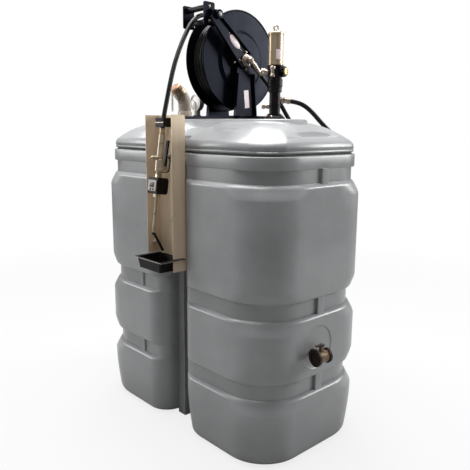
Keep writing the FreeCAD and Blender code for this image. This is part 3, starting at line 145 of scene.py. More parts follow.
# materials, each named for what the real one is; brush marks, draw marks and casting skin are finer than
# this on the real surfaces, and are drawn 1 to 2 mm wide so that they show
looks = {
    # rotomoulded polyethylene: satin, with a faint orange peel and slow waves from the mould
    "rotomouldedPolyethylene": dict(
        dark="#747576", light="#7d7e7f", roughness=(0.3, 0.38), ior=1.51, specular=0.6,
        patchMm=150, grainMm=3.0, bump=0.06, bumpMm=0.35, waveMm=230, waveHeightMm=3.0),
    # powder coated steel: blue black, with a thin blue gloss that leaves the black deep; the blue of the
    # colour and of the gloss is painted light, standing in for the bluish cast of the light on the reel
    "powderCoatedSteel": dict(
        dark="#040509", light="#07090f", roughness=(0.3, 0.4), specular=0.08,
        # painted reflection: this blue tint on the gloss gives the cast of the light, not of the coating
        extra={"Specular Tint": linear("#aebcf0")},
        patchMm=70, grainMm=2.4, bump=0.03, bumpMm=0.1, waveMm=120, waveHeightMm=0.8),
    # cast iron with black paint: brown black, less gloss
    "paintedCastIron": dict(
        dark="#0a0606", light="#150e0d", roughness=(0.32, 0.45), specular=0.12,
        patchMm=14, grainMm=1.6, bump=0.15, bumpMm=0.2),
    # extruded hose rubber: dull black with a soft sheen along the top
    "hoseRubber": dict(
        dark="#070606", light="#0e0c0c", roughness=(0.3, 0.4), specular=0.2,
        patchMm=40, grainMm=1.2, bump=0.08, bumpMm=0.12),
    # rolled stainless sheet: brushed upright, pale beige
    "rolledStainless": dict(
        dark="#b8a58c", light="#cbb9a2", roughness=(0.36, 0.46), metallic=0.2, specular=0.4,
        patchMm=60, stretch=(1, 1, 0.04), grainMm=1.5, bump=0.1, bumpMm=0.06),
    # zinc plated steel: bright, slightly milky
    "zincPlatedSteel": dict(
        dark="#857a70", light="#ab9f94", roughness=(0.24, 0.36), metallic=0.85,
        patchMm=22, grainMm=1.6, bump=0.05, bumpMm=0.06),
    # yellow passivated tube: satin brass tint with upright draw marks
    "yellowPassivatedSteel": dict(
        dark="#85725c", light="#c0ae95", roughness=(0.26, 0.36), metallic=0.7,
        patchMm=30, stretch=(1, 1, 0.02), grainMm=1.5, bump=0.04, bumpMm=0.05),
    # machined brass: warm yellow, smooth
    "machinedBrass": dict(
        dark="#8f7342", light="#b39764", roughness=(0.3, 0.4), metallic=0.8,
        patchMm=8, grainMm=1.2, bump=0.04, bumpMm=0.05),
    # nickel plated casting: cream, soft
    "nickelPlatedCasting": dict(
        dark="#988e80", light="#b4aa9d", roughness=(0.4, 0.52), metallic=0.1, specular=0.35,
        patchMm=20, grainMm=1.8, bump=0.1, bumpMm=0.15),
    # satin nickel on brass: olive grey, worn to yellow
    "satinNickel": dict(
        dark="#8a7f6e", light="#b0a48f", roughness=(0.26, 0.36), metallic=0.6,
        patchMm=34, grainMm=1.4, bump=0.05, bumpMm=0.06),
    # cast tin bronze: brown red, dull
    "tinBronze": dict(
        dark="#7d5f49", light="#9a785e", roughness=(0.38, 0.5), metallic=0.35,
        patchMm=10, grainMm=1.4, bump=0.12, bumpMm=0.12),
    # moulded black ABS and polypropylene: fine matt texture
    "mouldedBlackPlastic": dict(
        dark="#080605", light="#0f0b0a", roughness=(0.4, 0.52), specular=0.13,
        patchMm=25, grainMm=1.2, bump=0.08, bumpMm=0.1),
    # moulded polycarbonate: milky, with a wet gloss
    "polycarbonate": dict(
        dark="#958d85", light="#b3aba3", roughness=(0.14, 0.24), ior=1.58,
        patchMm=16, grainMm=3.0, bump=0.04, bumpMm=0.05),
    # dark bronze casting: brown black, rough to the touch
    "darkBronzeCasting": dict(
        dark="#1b100b", light="#2e1e16", roughness=(0.28, 0.42), metallic=0.4,
        patchMm=9, grainMm=1.6, bump=0.15, bumpMm=0.2),
    # bronze rubbed bare by hands: brown tan
    "rubbedBronze": dict(
        dark="#594636", light="#7d6a58", roughness=(0.3, 0.42), metallic=0.6,
        patchMm=8, grainMm=1.4, bump=0.1, bumpMm=0.15),
    # vinyl label with nothing on it: pale, slightly pink
    "blankVinyl": dict(
        dark="#cbb9bb", light="#dccfd0", roughness=(0.3, 0.4),
        patchMm=10, grainMm=2.0, bump=0.03, bumpMm=0.03),
    # anodised aluminium plate: silver grey, fine and flat
    "anodisedPlate": dict(
        dark="#6f6b6a", light="#858180", roughness=(0.38, 0.46), metallic=0.2,
        patchMm=12, grainMm=1.0, bump=0.03, bumpMm=0.03),
    # liquid crystal window: dark grey with a glassy face
    "displayWindow": dict(
        dark="#1f1d1d", light="#2a2828", roughness=(0.16, 0.22), specular=0.15,
        patchMm=8, grainMm=3.0, bump=0.02, bumpMm=0.02),
    # printed ink of digits, ticks and pointer: flat black
    "dialInk": dict(
        dark="#121212", light="#1a1a1a", roughness=(0.4, 0.5),
        patchMm=10, grainMm=2.0, bump=0.02, bumpMm=0.02),
}
materials = {name: surfaceMaterial(name, look, recipeSettings) for name, look in looks.items()}
slotMaterials = {
    "tank_plastic": "rotomouldedPolyethylene",
    "black_enamel": "powderCoatedSteel",
    "hose_rubber": "hoseRubber",
    "zinc_sheet": "rolledStainless",
    "plated_steel": "zincPlatedSteel",
    "pump_plating": "yellowPassivatedSteel",
    "fill_casting": "nickelPlatedCasting",
    "cap_bronze": "tinBronze",
    "black_plastic": "mouldedBlackPlastic",
    "gauge_plastic": "polycarbonate",
    "valve_casting": "darkBronzeCasting",
    "display": "anodisedPlate",
}
ownMaterials = {
    # nodes whose real surface differs from the rest of their slot
    "pump_flange": "paintedCastIron",
    "pump_tube": "paintedCastIron",
    "pump_valve_body": "paintedCastIron",
    "valve_body": "rubbedBronze",
    "outlet_pipe": "satinNickel",
    "gun_body": "satinNickel",
    "fill_coupling": "satinNickel",
    "pump_cap": "yellowPassivatedSteel",
}
materialSlots = {material: slot for slot, material in slotMaterials.items()}
materialSlots.update(blankVinyl="gauge_plastic", machinedBrass="pump_plating", displayWindow="display")
for entry in frame["record"]["subparts"]:
    node = entry["node"]
    wear(nodes[node], materials[ownMaterials.get(node, slotMaterials[entry["material_slot"]])])
print("stage: materials made,", len(materials))


# camera, fitted to the photograph
cameraSettings = {
    "place": (2.1346, -1.9003, 1.4621),
    "azimuth": 47.349,  # degrees round from the front
    "down": 10.717,  # degrees below the horizon
    "roll": 0.3634,
    "lens": 43.46,  # millimetres, on a square frame this wide
    "frameWide": 36.0,
    "clipFrom": 0.05,
}


def makeCamera(settings):
    data = bpy.data.cameras.new("photoCamera")
    data.lens = settings["lens"]
    data.sensor_width = settings["frameWide"]
    data.clip_start = settings["clipFrom"]
    camera = bpy.data.objects.new("photoCamera", data)
    scene.collection.objects.link(camera)
    turn = spun(settings["azimuth"], "Z")
    tip = spun(90 - settings["down"], "X")
    roll = spun(settings["roll"], "Z")
    camera.matrix_world = moved(settings["place"]) @ turn @ tip @ roll
    scene.camera = camera


makeCamera(cameraSettings)


# free hoses, with the same points as the frame's tubes
hoses = {
    "dispensingHose": dict(
        node="dispensing_hose", diameter=0.021, length=0.786,
        points=[
            (-0.052, 0.063, 1.998), (-0.052, 0.015, 1.994), (-0.052, -0.035, 1.991),
            (-0.052, -0.085, 1.989), (-0.052, -0.118, 1.9795), (-0.051, -0.1475, 1.963),
            (-0.049, -0.173, 1.94), (-0.046, -0.198, 1.907), (-0.04, -0.243, 1.834),
            (-0.028, -0.292, 1.74), (-0.015, -0.327, 1.65), (-0.006, -0.35, 1.585),
            (0.0, -0.366, 1.54), (0.005, -0.3795, 1.498), (0.005, -0.3849, 1.4564),
        ]),
    "transferHose": dict(
        node="transfer_hose", diameter=0.021, length=1.162,
        points=[
            (0.3133, 0.1171, 1.5842), (0.3299, 0.1527, 1.5801), (0.348, 0.192, 1.562),
            (0.365, 0.228, 1.53), (0.381, 0.263, 1.492), (0.397, 0.299, 1.456),
            (0.412, 0.337, 1.426), (0.422, 0.365, 1.386), (0.423, 0.368, 1.3317),
            (0.378, 0.368, 1.2697), (0.305, 0.368, 1.246), (0.232, 0.368, 1.2697),
            (0.187, 0.368, 1.3317), (0.183, 0.363, 1.39), (0.177, 0.338, 1.437),
            (0.166, 0.305, 1.478), (0.15, 0.28, 1.522), (0.131, 0.262, 1.568),
            (0.108, 0.246, 1.613), (0.088, 0.226, 1.655), (0.0808, 0.196, 1.6866),
            (0.0808, 0.1585, 1.7191),
        ]),
}


def makeHose(name, settings):
    curve = bpy.data.curves.new(name, "CURVE")
    curve.dimensions = "3D"
    spline = curve.splines.new("NURBS")
    spline.points.add(len(settings["points"]) - 1)
    for point, place in zip(spline.points, settings["points"]):
        point.co = (*place, 1.0)
    spline.order_u = 3
    spline.use_endpoint_u = True
    spline.resolution_u = 10
    curve.bevel_depth = settings["diameter"] / 2
    curve.bevel_resolution = 6
    curve.use_fill_caps = True
    hose = bpy.data.objects.new(name, curve)
    scene.collection.objects.link(hose)
    wear(hose, materials["hoseRubber"])
    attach(hose, "tank")
    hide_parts(settings["node"])


for name, settings in hoses.items():
    makeHose(name, settings)
print("stage: hoses laid")


# small helpers for meshes: rings of points that are skinned one to the next
def circle(radius, height, steps=36):
    return [(radius * cos(2 * pi * i / steps), radius * sin(2 * pi * i / steps), height)
            for i in range(steps)]


def hexagon(flats, height):
    return circle(flats / sqrt(3), height, 6)


def ribbed(radius, depth, height, count):
    # circle with ribs, two points on each rib and two in each groove
    points = []
    for i in range(count * 4):
        reach = radius if i % 4 < 2 else radius - depth
        angle = 2 * pi * i / (count * 4)
        points.append((reach * cos(angle), reach * sin(angle), height))
    return points


def rounded(halfX, halfY, radius, height, steps=5):
    points = []
    for cornerX, cornerY, start in ((1, 1, 0), (-1, 1, 90), (-1, -1, 180), (1, -1, 270)):
        for i in range(steps + 1):
            angle = radians(start + 90 * i / steps)
            x = cornerX * (halfX - radius) + radius * cos(angle)
            y = cornerY * (halfY - radius) + radius * sin(angle)
            points.append((x, y, height))
    return points


def oval(halfX, halfY, height, steps=32):
    return [(halfX * x, halfY * y, height) for x, y, z in circle(1.0, 0.0, steps)]


def skin(mesh, rings, matrix=Matrix(), closed=False):
    made = [[mesh.verts.new(matrix @ Vector(point)) for point in ring] for ring in rings]
    pairs = list(zip(made, made[1:]))
    if closed:
        pairs.append((made[-1], made[0]))
    else:
        mesh.faces.new(list(reversed(made[0])))
        mesh.faces.new(made[-1])
    for low, high in pairs:
        for i in range(len(low)):
            j = (i + 1) % len(low)
            mesh.faces.new((low[i], low[j], high[j], high[i]))


def circles(profile, steps=36, size=1.0):
    # rings of a round solid, through points of (radius, height)
    return [circle(size * radius, size * height, steps) for radius, height in profile]


def frameRound(mesh, node, level, radius, section, steps):
    # closed frame round a node's box, through points of (how far out, how high above the level)
    centre, half = middle(node), (box(node)[1] - box(node)[0]) / 2
    rings = [rounded(half.x + out, half.y + out, radius + out, height, steps) for out, height in section]
    skin(mesh, rings, moved((centre.x, centre.y, level)), closed=True)


def standing(place, along=(0, 0, 1), spin=0.0):
    # matrix that puts a mesh built up from the origin on a place, with its Z along a direction
    turn = Vector(along).to_track_quat("Z", "Y").to_matrix().to_4x4()
    return moved(place) @ turn @ spun(spin, "Z")


def facingFront(place):
    # the same, with Z towards the dispensing side and Y upward
    return moved(place) @ spun(90, "X")


def upward(height):
    return Vector((0, 0, height))


def roundDirection(degrees):
    return Vector((cos(radians(degrees)), sin(radians(degrees)), 0))


def box(node):
    # lowest and highest corner of a node at rest
    return [Vector(point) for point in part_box(node)]


def middle(node):
    low, high = box(node)
    return (low + high) / 2


def meshObject(name, mesh):
    data = bpy.data.meshes.new(name)
    bmesh.ops.recalc_face_normals(mesh, faces=mesh.faces)
    mesh.to_mesh(data)
    mesh.free()
    piece = bpy.data.objects.new(name, data)
    scene.collection.objects.link(piece)
    return piece


def finishPiece(name, mesh, material="zincPlatedSteel", body="tank", sharpAngle=34):
    # most fittings are of zinc plated steel and fixed to the tank
    piece = meshObject(name, mesh)
    piece.data.shade_smooth()
    piece.data.set_sharp_from_angle(angle=radians(sharpAngle))
    wear(piece, materials[material])
    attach(piece, body)
    return piece


def skinPiece(name, rings, matrix, material, body="tank"):
    mesh = bmesh.new()
    skin(mesh, rings, matrix)
    finishPiece(name, mesh, material, body)


# hexagon bolt and pan head screw, as shares of the width across the flats and of the head's radius
boltShape = {
    "washer": ((0.72, 0.0), (0.72, 0.098), (0.66, 0.14)),
    "head": ((1.0, 0.14), (1.0, 0.6364), (0.86, 0.74)),
    "thread": ((0.3, 0.74), (0.3, 0.94), (0.24, 1.0)),
}
screwShape = {
    "washer": ((1.35, 0.0), (1.35, 0.2), (1.25, 0.28)),
    "head": ((1.0, 0.28), (1.0, 0.6), (0.9, 0.85), (0.62, 1.02), (0.42, 1.05), (0.4, 0.7)),
}


def addBolt(mesh, place, along, size, spin=0.0):
    matrix = standing(place, along, spin)
    skin(mesh, circles(boltShape["washer"], 24, size), matrix)
    skin(mesh, [hexagon(size * flats, size * height) for flats, height in boltShape["head"]], matrix)
    skin(mesh, circles(boltShape["thread"], 16, size), matrix)


def addDomeScrew(mesh, place, along, radius):
    matrix = standing(place, along)
    for profile in screwShape.values():
        skin(mesh, circles(profile, 28, radius), matrix)


def addBoltRing(mesh, centre, size, count, radius, start, spin):
    # upright bolts round a flange, each head turned a little further than the last
    for i in range(count):
        place = centre + roundDirection(360 / count * i + start) * radius
        addBolt(mesh, place, (0, 0, 1), size, spin * i)


# tank: a smooth skin over the frame's shell, with the full round corners and soft shoulders of the moulding
tankSizes = {
    "halfLong": 0.643,
    "halfWide": 0.36,
    "bands": ((0.0, 0.311), (0.374, 0.666), (0.731, 1.236)),
    "bandRadius": 0.197,  # corners in plan
    "waistHalf": 0.07,
    "waistRadius": 0.105,
    "grooveInset": 0.022,
    "grooveRadius": 0.214,
    "grooveWaistRadius": 0.066,
    "faceTurn": 0.018,  # height in which a band's face turns into the groove
    "faceSteps": (0, 0.06, 0.14, 0.24, 0.36, 0.5, 0.66, 0.84, 1.0),
    "shoulder": 0.064,  # height of the slope at the corners
    "shoulderSteps": 8,
    "shoulderEase": 0.45,  # share of that slope that starts and ends softly
    "cornerStep": (0.45, 0.22),  # share that turns as quickly as the faces, at a band's foot and at its top
    "footRound": 0.034,
    "footSteps": (0.0, 0.03, 0.1, 0.2, 0.35, 0.5, 0.7, 1.0, 1.6, 2.4, 3.3, 4.3, 5.4),
    "footTaper": 0.018,
    "footTaperHigh": 0.230,
    "footTaperCurve": 1.5,
    "webFront": 0.250,
    "webHalf": 0.082,
    "slotHalf": 0.027,
    "slotDepth": 0.038,
    "rimLow": 1.292,
    "rimHigh": 1.349,
    "rimInset": 0.020,
    "rimRadius": 0.187,
    "rimRound": 0.006,
    "rimSteps": 4,
    "rimOverlap": 0.02,  # how far the walls run up into the rim
    "mouthHalf": 0.07,
    "mouthRadius": 0.066,
    "mouthInnerRadius": 0.012,
    "ribHalf": (0.023, 0.013),  # on the ends, on the long sides
    "ribInset": (0.009, 0.015),
    "ribDeep": 0.015,  # half the rib's depth, most of it inside the wall
    "ribRound": 0.004,
    "ribSunk": (0.012, 0.004),  # how far a rib runs into a band, into the rim
    "sideRibX": 0.255,
    "dishCentre": (0.643, -0.030, 0.515),
    "dishRadius": 0.100,
    "dishDepth": 0.0035,
    "sharpAngle": 24,
    "lidRadius": 0.184,
    "lidCadRadius": 0.118,
    "lidWeld": 0.00002,
}


def plan(corners, level, arcSteps=14, flatSteps=6):
    # closed outline through right-angled corners of (x, y, radius), with points along the straight runs too
    points = []
    for i, (x, y, radius) in enumerate(corners):
        here = Vector((x, y))
        back = (Vector(corners[i - 1][:2]) - here).normalized()
        ahead = (Vector(corners[(i + 1) % len(corners)][:2]) - here).normalized()
        centre = here + (back + ahead) * radius
        arc = []
        for step in range(arcSteps + 1):
            angle = radians(90 * step / arcSteps)
            arc.append(centre - ahead * radius * cos(angle) - back * radius * sin(angle))
        if points:
            start = points[-1]
            points += [start.lerp(arc[0], step / flatSteps) for step in range(1, flatSteps)]
        points += arc
    start, end = points[-1], points[0]
    points += [start.lerp(end, step / flatSteps) for step in range(1, flatSteps)]
    return [(point.x, point.y, level) for point in points]


def lobeRing(sizes, side, inset, waistInset, endRadius, waistRadius, level):
    end = sizes["halfLong"] - inset
    wide = sizes["halfWide"] - inset
    near = sizes["waistHalf"] + waistInset
    corners = [(side * end, -wide, endRadius), (side * end, wide, endRadius),
               (side * near, wide, waistRadius), (side * near, -wide, waistRadius)]
    return plan(corners, level)


def footRing(sizes, side, level):
    # outline near the floor: a quarter round under a slight taper
    foot = sizes["footRound"]
    tapered = 1 - min(1.0, level / sizes["footTaperHigh"])
    low = foot - min(level, foot)
    inset = sizes["footTaper"] * tapered ** sizes["footTaperCurve"] + foot - sqrt(foot ** 2 - low ** 2)
    return lobeRing(sizes, side, inset, inset, sizes["bandRadius"], sizes["waistRadius"], level)


def shoulderRing(sizes, side, depth, level, step):
    # outline of a band this far from its edge: the faces turn quickly and the corners slope slowly
    diagonal = sqrt(2)
    ease, groove = sizes["shoulderEase"], sizes["grooveInset"]
    turn = (1 - min(1.0, depth / sizes["faceTurn"])) ** 2
    slope = min(1.0, depth / sizes["shoulder"])
    slope = (1 - ease) * slope + ease * slope * slope * (3 - 2 * slope)
    slope = step * (1 - turn) + (1 - step) * slope
    reachIn = groove * diagonal + sizes["grooveRadius"] * (diagonal - 1)
    reachOut = sizes["bandRadius"] * (diagonal - 1)
    reach = reachIn + (reachOut - reachIn) * slope
    endRadius = (reach - groove * turn * diagonal) / (diagonal - 1)
    waistRadius = sizes["waistRadius"] + (sizes["grooveWaistRadius"] - sizes["waistRadius"]) * turn
    return lobeRing(sizes, side, groove * turn, 0.0, endRadius, waistRadius, level)


def lobeRings(sizes, side):
    under, over = sizes["cornerStep"]
    face, shoulder, steps = sizes["faceTurn"], sizes["shoulder"], sizes["shoulderSteps"]
    depths = [face * share for share in sizes["faceSteps"]]
    depths += [face + (shoulder - face) * i / steps for i in range(1, steps + 1)]
    rings = []
    for number, (bottom, top) in enumerate(sizes["bands"]):
        if number == 0:
            rings += [footRing(sizes, side, share * sizes["footRound"]) for share in sizes["footSteps"]]
        else:
            rings += [shoulderRing(sizes, side, depth, bottom + depth, under) for depth in depths]
        rings += [shoulderRing(sizes, side, depth, top - depth, over) for depth in reversed(depths)]
    rings.append(shoulderRing(sizes, side, 0.0, sizes["rimLow"] + sizes["rimOverlap"], over))
    return rings


def rimRing(sizes, inset, level):
    end = sizes["halfLong"] - sizes["rimInset"] - inset
    wide = sizes["halfWide"] - sizes["rimInset"] - inset
    floor = sizes["webFront"] - inset
    half = sizes["mouthHalf"] + inset
    radius, mouth, inner = sizes["rimRadius"] - inset, sizes["mouthRadius"], sizes["mouthInnerRadius"]
    corners = [(end, -wide, radius), (end, wide, radius), (half, wide, mouth), (half, floor, inner),
               (-half, floor, inner), (-half, wide, mouth), (-end, wide, radius), (-end, -wide, radius),
               (-half, -wide, mouth), (-half, -floor, inner), (half, -floor, inner), (half, -wide, mouth)]
    return plan(corners, level)


def makeDishedLobe(sizes):
    # the lobe with the outlet valve, with the valve's dish cut out of its end face
    mesh = bmesh.new()
    skin(mesh, lobeRings(sizes, 1))
    lobe = meshObject("rightLobe", mesh)
    depth, radius = sizes["dishDepth"], sizes["dishRadius"]
    mesh = bmesh.new()
    skin(mesh, circles(((radius - 2 * depth, -depth), (radius + 2 * depth, depth)), 72),
         standing(sizes["dishCentre"], (1, 0, 0)))
    cutter = meshObject("dishCutter", mesh)
    cut = lobe.modifiers.new("dish", "BOOLEAN")
    cut.operation = "DIFFERENCE"
    cut.solver = "EXACT"
    cut.object = cutter
    evaluated = lobe.evaluated_get(bpy.context.evaluated_depsgraph_get())
    mesh = bmesh.new()
    mesh.from_mesh(evaluated.to_mesh())
    for piece in (lobe, cutter):
        data = piece.data
        bpy.data.objects.remove(piece)
        bpy.data.meshes.remove(data)
    return mesh


def addWeb(mesh, sizes):
    # the wall between the lobes, with an upright slot on each side
    front, half = sizes["webFront"], sizes["webHalf"]
    slot, back = sizes["slotHalf"], sizes["webFront"] - sizes["slotDepth"]
    levels = (0.0, sizes["rimLow"] + sizes["rimOverlap"])
    outline = [(half, -front), (half, front), (slot, front), (slot, back), (-slot, back), (-slot, front)]
    outline += [(-x, -y) for x, y in outline]
    skin(mesh, [[(x, y, level) for x, y in outline] for level in levels])


def addRim(mesh, sizes):
    edge, low, high = sizes["rimRound"], sizes["rimLow"], sizes["rimHigh"]
    angles = [radians(90 * step / sizes["rimSteps"]) for step in range(sizes["rimSteps"] + 1)]
    rings = [rimRing(sizes, edge * (1 - sin(angle)), low + edge * (1 - cos(angle))) for angle in angles]
    rings += [rimRing(sizes, edge * (1 - cos(angle)), high - edge * (1 - sin(angle))) for angle in angles]
    skin(mesh, rings)


def addRibs(mesh, sizes):
    # upright ribs across the grooves: one on each end, and in the two lower grooves one on each long side
    bands, deep, radius = sizes["bands"], sizes["ribDeep"], sizes["ribRound"]
    intoBand, intoRim = sizes["ribSunk"]
    gaps = [(bands[0][1], bands[1][0]), (bands[1][1], bands[2][0]), (bands[2][1], sizes["rimLow"])]
    for number, (low, high) in enumerate(gaps):
        levels = (low - intoBand, high + (intoBand if number < 2 else intoRim))
        reach = sizes["halfLong"] - sizes["ribInset"][0] - deep
        for side in (-1, 1):
            rings = [rounded(deep, sizes["ribHalf"][0], radius, level) for level in levels]
            skin(mesh, rings, moved((side * reach, 0, 0)))
        if number < 2:
            reach = sizes["halfWide"] - sizes["ribInset"][1] - deep
            for side in (-1, 1):
                rings = [rounded(sizes["ribHalf"][1], deep, radius, level) for level in levels]
                skin(mesh, rings, moved((side * sizes["sideRibX"], side * reach, 0)))


def makeTankBody(sizes):
    mesh = makeDishedLobe(sizes)
    skin(mesh, lobeRings(sizes, -1))
    addWeb(mesh, sizes)
    addRim(mesh, sizes)
    addRibs(mesh, sizes)
    body = finishPiece("tankBody", mesh, "rotomouldedPolyethylene", sharpAngle=sizes["sharpAngle"])
    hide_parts("tank_shell")


def roundCorner(point, halfLong, halfWide, old, new):
    # draws a point in towards a corner with a larger radius in plan
    outX, outY = abs(point.x) - (halfLong - new), abs(point.y) - (halfWide - new)
    if outX <= 0 or outY <= 0:
        return point
    aheadX, aheadY = Vector((outX, outY)).normalized()
    shift = new - old
    if aheadY * new / aheadX <= shift:
        reach = new / aheadX
    elif aheadX * new / aheadY <= shift:
        reach = new / aheadY
    else:
        reach = shift * (aheadX + aheadY) + sqrt(old ** 2 - (shift * (aheadX - aheadY)) ** 2)
    share = new / reach
    return Vector((copysign(halfLong - new + outX * share, point.x),
                   copysign(halfWide - new + outY * share, point.y), point.z))


def makeLid(sizes):
    # the frame's lid, with the rounder corners of the tank under it
    source = nodes["tank_lid"]
    high = box("tank_lid")[1]
    mesh = bmesh.new()
    mesh.from_mesh(source.data)
    mesh.transform(source.matrix_world)
    bmesh.ops.remove_doubles(mesh, verts=mesh.verts, dist=sizes["lidWeld"])
    for vert in mesh.verts:
        vert.co = roundCorner(vert.co, high.x, high.y, sizes["lidCadRadius"], sizes["lidRadius"])
    lid = finishPiece("tankLid", mesh, "rotomouldedPolyethylene")
    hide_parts("tank_lid")


makeTankBody(tankSizes)
makeLid(tankSizes)
print("stage: tank moulded")


# deck: bright bolts on the reel's base and on the deck plate, the plate's upturned lip and its pale seal
deckSizes = {
    "boltRows": [
        # piece, node under it, width across the flats, margin, places between the ends as shares of the
        # length, and degrees that the heads turn per metre, so that they don't all lie alike
        ("reelBaseBolts", "reel_base", 0.009, 0.013, (0.5,), 400.0),
        ("deckBolts", "deck_plate", 0.011, 0.026, (0.3, 0.7), 300.0),
    ],
    "plateRound": 0.023,
    "roundSteps": 8,
    "sealOut": 0.003,
    "sealHigh": 0.0026,
    "lipHigh": 0.011,
    "lipThick": 0.003,
    "lipFrom": 0.001,
}


def makeDeckFittings(sizes):
    for piece, node, size, margin, shares, turn in sizes["boltRows"]:
        low, high = box(node)
        inner = [low.x + share * (high.x - low.x) for share in shares]
        mesh = bmesh.new()
        for x in (low.x + margin, *inner, high.x - margin):
            for y in (low.y + margin, high.y - margin):
                addBolt(mesh, (x, y, high.z), (0, 0, 1), size, turn * x)
        finishPiece(piece, mesh)

    low, high = box("deck_plate")
    out, top, radius = sizes["sealOut"], sizes["sealHigh"], sizes["plateRound"]
    mesh = bmesh.new()
    section = ((out, 0), (out, top), (0, top), (0, 0))
    frameRound(mesh, "deck_plate", low.z, radius - out, section, sizes["roundSteps"])
    finishPiece("deckSeal", mesh, "anodisedPlate")

    thick, start, top = sizes["lipThick"], sizes["lipFrom"], high.z - low.z + sizes["lipHigh"]
    mesh = bmesh.new()
    section = ((0, start), (0, top), (-thick, top), (-thick, start))
    frameRound(mesh, "deck_plate", low.z, radius, section, sizes["roundSteps"])
    finishPiece("deckLip", mesh, "powderCoatedSteel")


makeDeckFittings(deckSizes)


# reel: blank plates on the arm and the upright, a knob at the arm's end, bolts round the hub and on the guide
reelSizes = {
    "armTilt": 48.0,  # degrees from upright
    "armFace": 0.049,  # X of the arm's outer face
    "plateAlong": 0.108,  # from the axle along the arm
    "plateAcross": 0.012,
    "plateHalf": (0.042, 0.0175),
    "plateSection": ((0, 0), (0, 0.00098), (0.001, 0.0014)),  # inset of the edge, height
    "rivetGap": 0.008,
    "rivetRadius": 0.003,
    "hubBolt": 0.010,
    "hubBoltCircle": 0.0395,
    "hubBoltTurns": (25, 10),  # degrees of turn each way, by a bolt's place along and across the arm
    "knobPlace": (0.049, -0.093, 1.975),
    "knobProfile": ((0.0168, -0.004), (0.0168, 0.004), (0.021, 0.005), (0.021, 0.012),
        (0.0189, 0.0145), (0.01302, 0.0155), (0.01218, 0.0135)),
    "knobFaceProfile": ((0.0105, 0.013), (0.0105, 0.0155), (0.00882, 0.0165)),
    "labelFace": 0.045,
    "labelCentre": (0.097, 1.601),
    "labelHalf": (0.0155, 0.043),
    "labelRound": 0.003,
    "labelThick": 0.0008,
    "labelTurn": 6.0,
    "discBolt": 0.009,
    "discBolts": 6,
    "discBoltCircle": 0.05,
    "discBoltStart": 12,
    "discBoltTurn": 17,
    "cheekFace": 0.028,  # X of the guide's outer face
    "cheekBolt": 0.008,
    "cheekBoltTurn": 20,
}


def makeArmFittings(sizes):
    axle = middle("reel_axle")
    tilt = radians(sizes["armTilt"])
    along = Vector((0, -sin(tilt), cos(tilt)))
    across = Vector((0, cos(tilt), sin(tilt)))
    hub = Vector((sizes["armFace"], axle.y, axle.z))

    centre = hub + along * sizes["plateAlong"] + across * sizes["plateAcross"]
    face = Matrix((along, -across, (1, 0, 0))).transposed().to_4x4()
    halfLong, halfWide = sizes["plateHalf"]
    rings = [oval(halfLong - inset, halfWide - inset, height) for inset, height in sizes["plateSection"]]
    skinPiece("armPlate", rings, moved(centre) @ face, "blankVinyl")
    mesh = bmesh.new()
    for end in (-1, 1):
        place = centre + along * end * (halfLong + sizes["rivetGap"])
        addDomeScrew(mesh, place, (1, 0, 0), sizes["rivetRadius"])
    finishPiece("armPlateRivets", mesh)

    mesh = bmesh.new()
    reach = sizes["hubBoltCircle"] / sqrt(2)
    turnAlong, turnAcross = sizes["hubBoltTurns"]
    for a in (-1, 1):
        for b in (-1, 1):
            place = hub + along * a * reach + across * b * reach
            addBolt(mesh, place, (1, 0, 0), sizes["hubBolt"], turnAlong * a + turnAcross * b)
    finishPiece("hubBolts", mesh)

    knob = standing(sizes["knobPlace"], (1, 0, 0))
    skinPiece("armKnob", circles(sizes["knobProfile"]), knob, "powderCoatedSteel")
    skinPiece("armKnobFace", circles(sizes["knobFaceProfile"]), knob, "anodisedPlate")


def makeReelFittings(sizes):
    halfWide, halfHigh = sizes["labelHalf"]
    place = moved((sizes["labelFace"], *sizes["labelCentre"]))
    turn = spun(sizes["labelTurn"], "X")
    upright = Matrix(((0, 1, 0), (0, 0, 1), (1, 0, 0))).transposed().to_4x4()
    rings = [rounded(halfWide, halfHigh, sizes["labelRound"], level) for level in (0, sizes["labelThick"])]
    skinPiece("uprightLabel", rings, place @ turn @ upright, "blankVinyl")

    axle = middle("reel_axle")
    faces = ((box("reel_disc_near")[1].x, (1, 0, 0)), (box("reel_disc_far")[0].x, (-1, 0, 0)))
    mesh = bmesh.new()
    for i in range(sizes["discBolts"]):
        angle = radians(360 / sizes["discBolts"] * i + sizes["discBoltStart"])
        reach = sizes["discBoltCircle"]
        y, z = axle.y + reach * cos(angle), axle.z + reach * sin(angle)
        for x, out in faces:
            addBolt(mesh, (x, y, z), out, sizes["discBolt"], sizes["discBoltTurn"] * i)
    finishPiece("discBolts", mesh, body="drum")

    faces = ((sizes["cheekFace"], (1, 0, 0)), (box("guide_cheeks")[0].x, (-1, 0, 0)))
    mesh = bmesh.new()
    for node in ("guide_roller_upper", "guide_roller_lower"):
        pin = middle(node)
        for x, out in faces:
            addBolt(mesh, (x, pin.y, pin.z), out, sizes["cheekBolt"], sizes["cheekBoltTurn"])
    finishPiece("guideBolts", mesh)


makeArmFittings(reelSizes)
makeReelFittings(reelSizes)


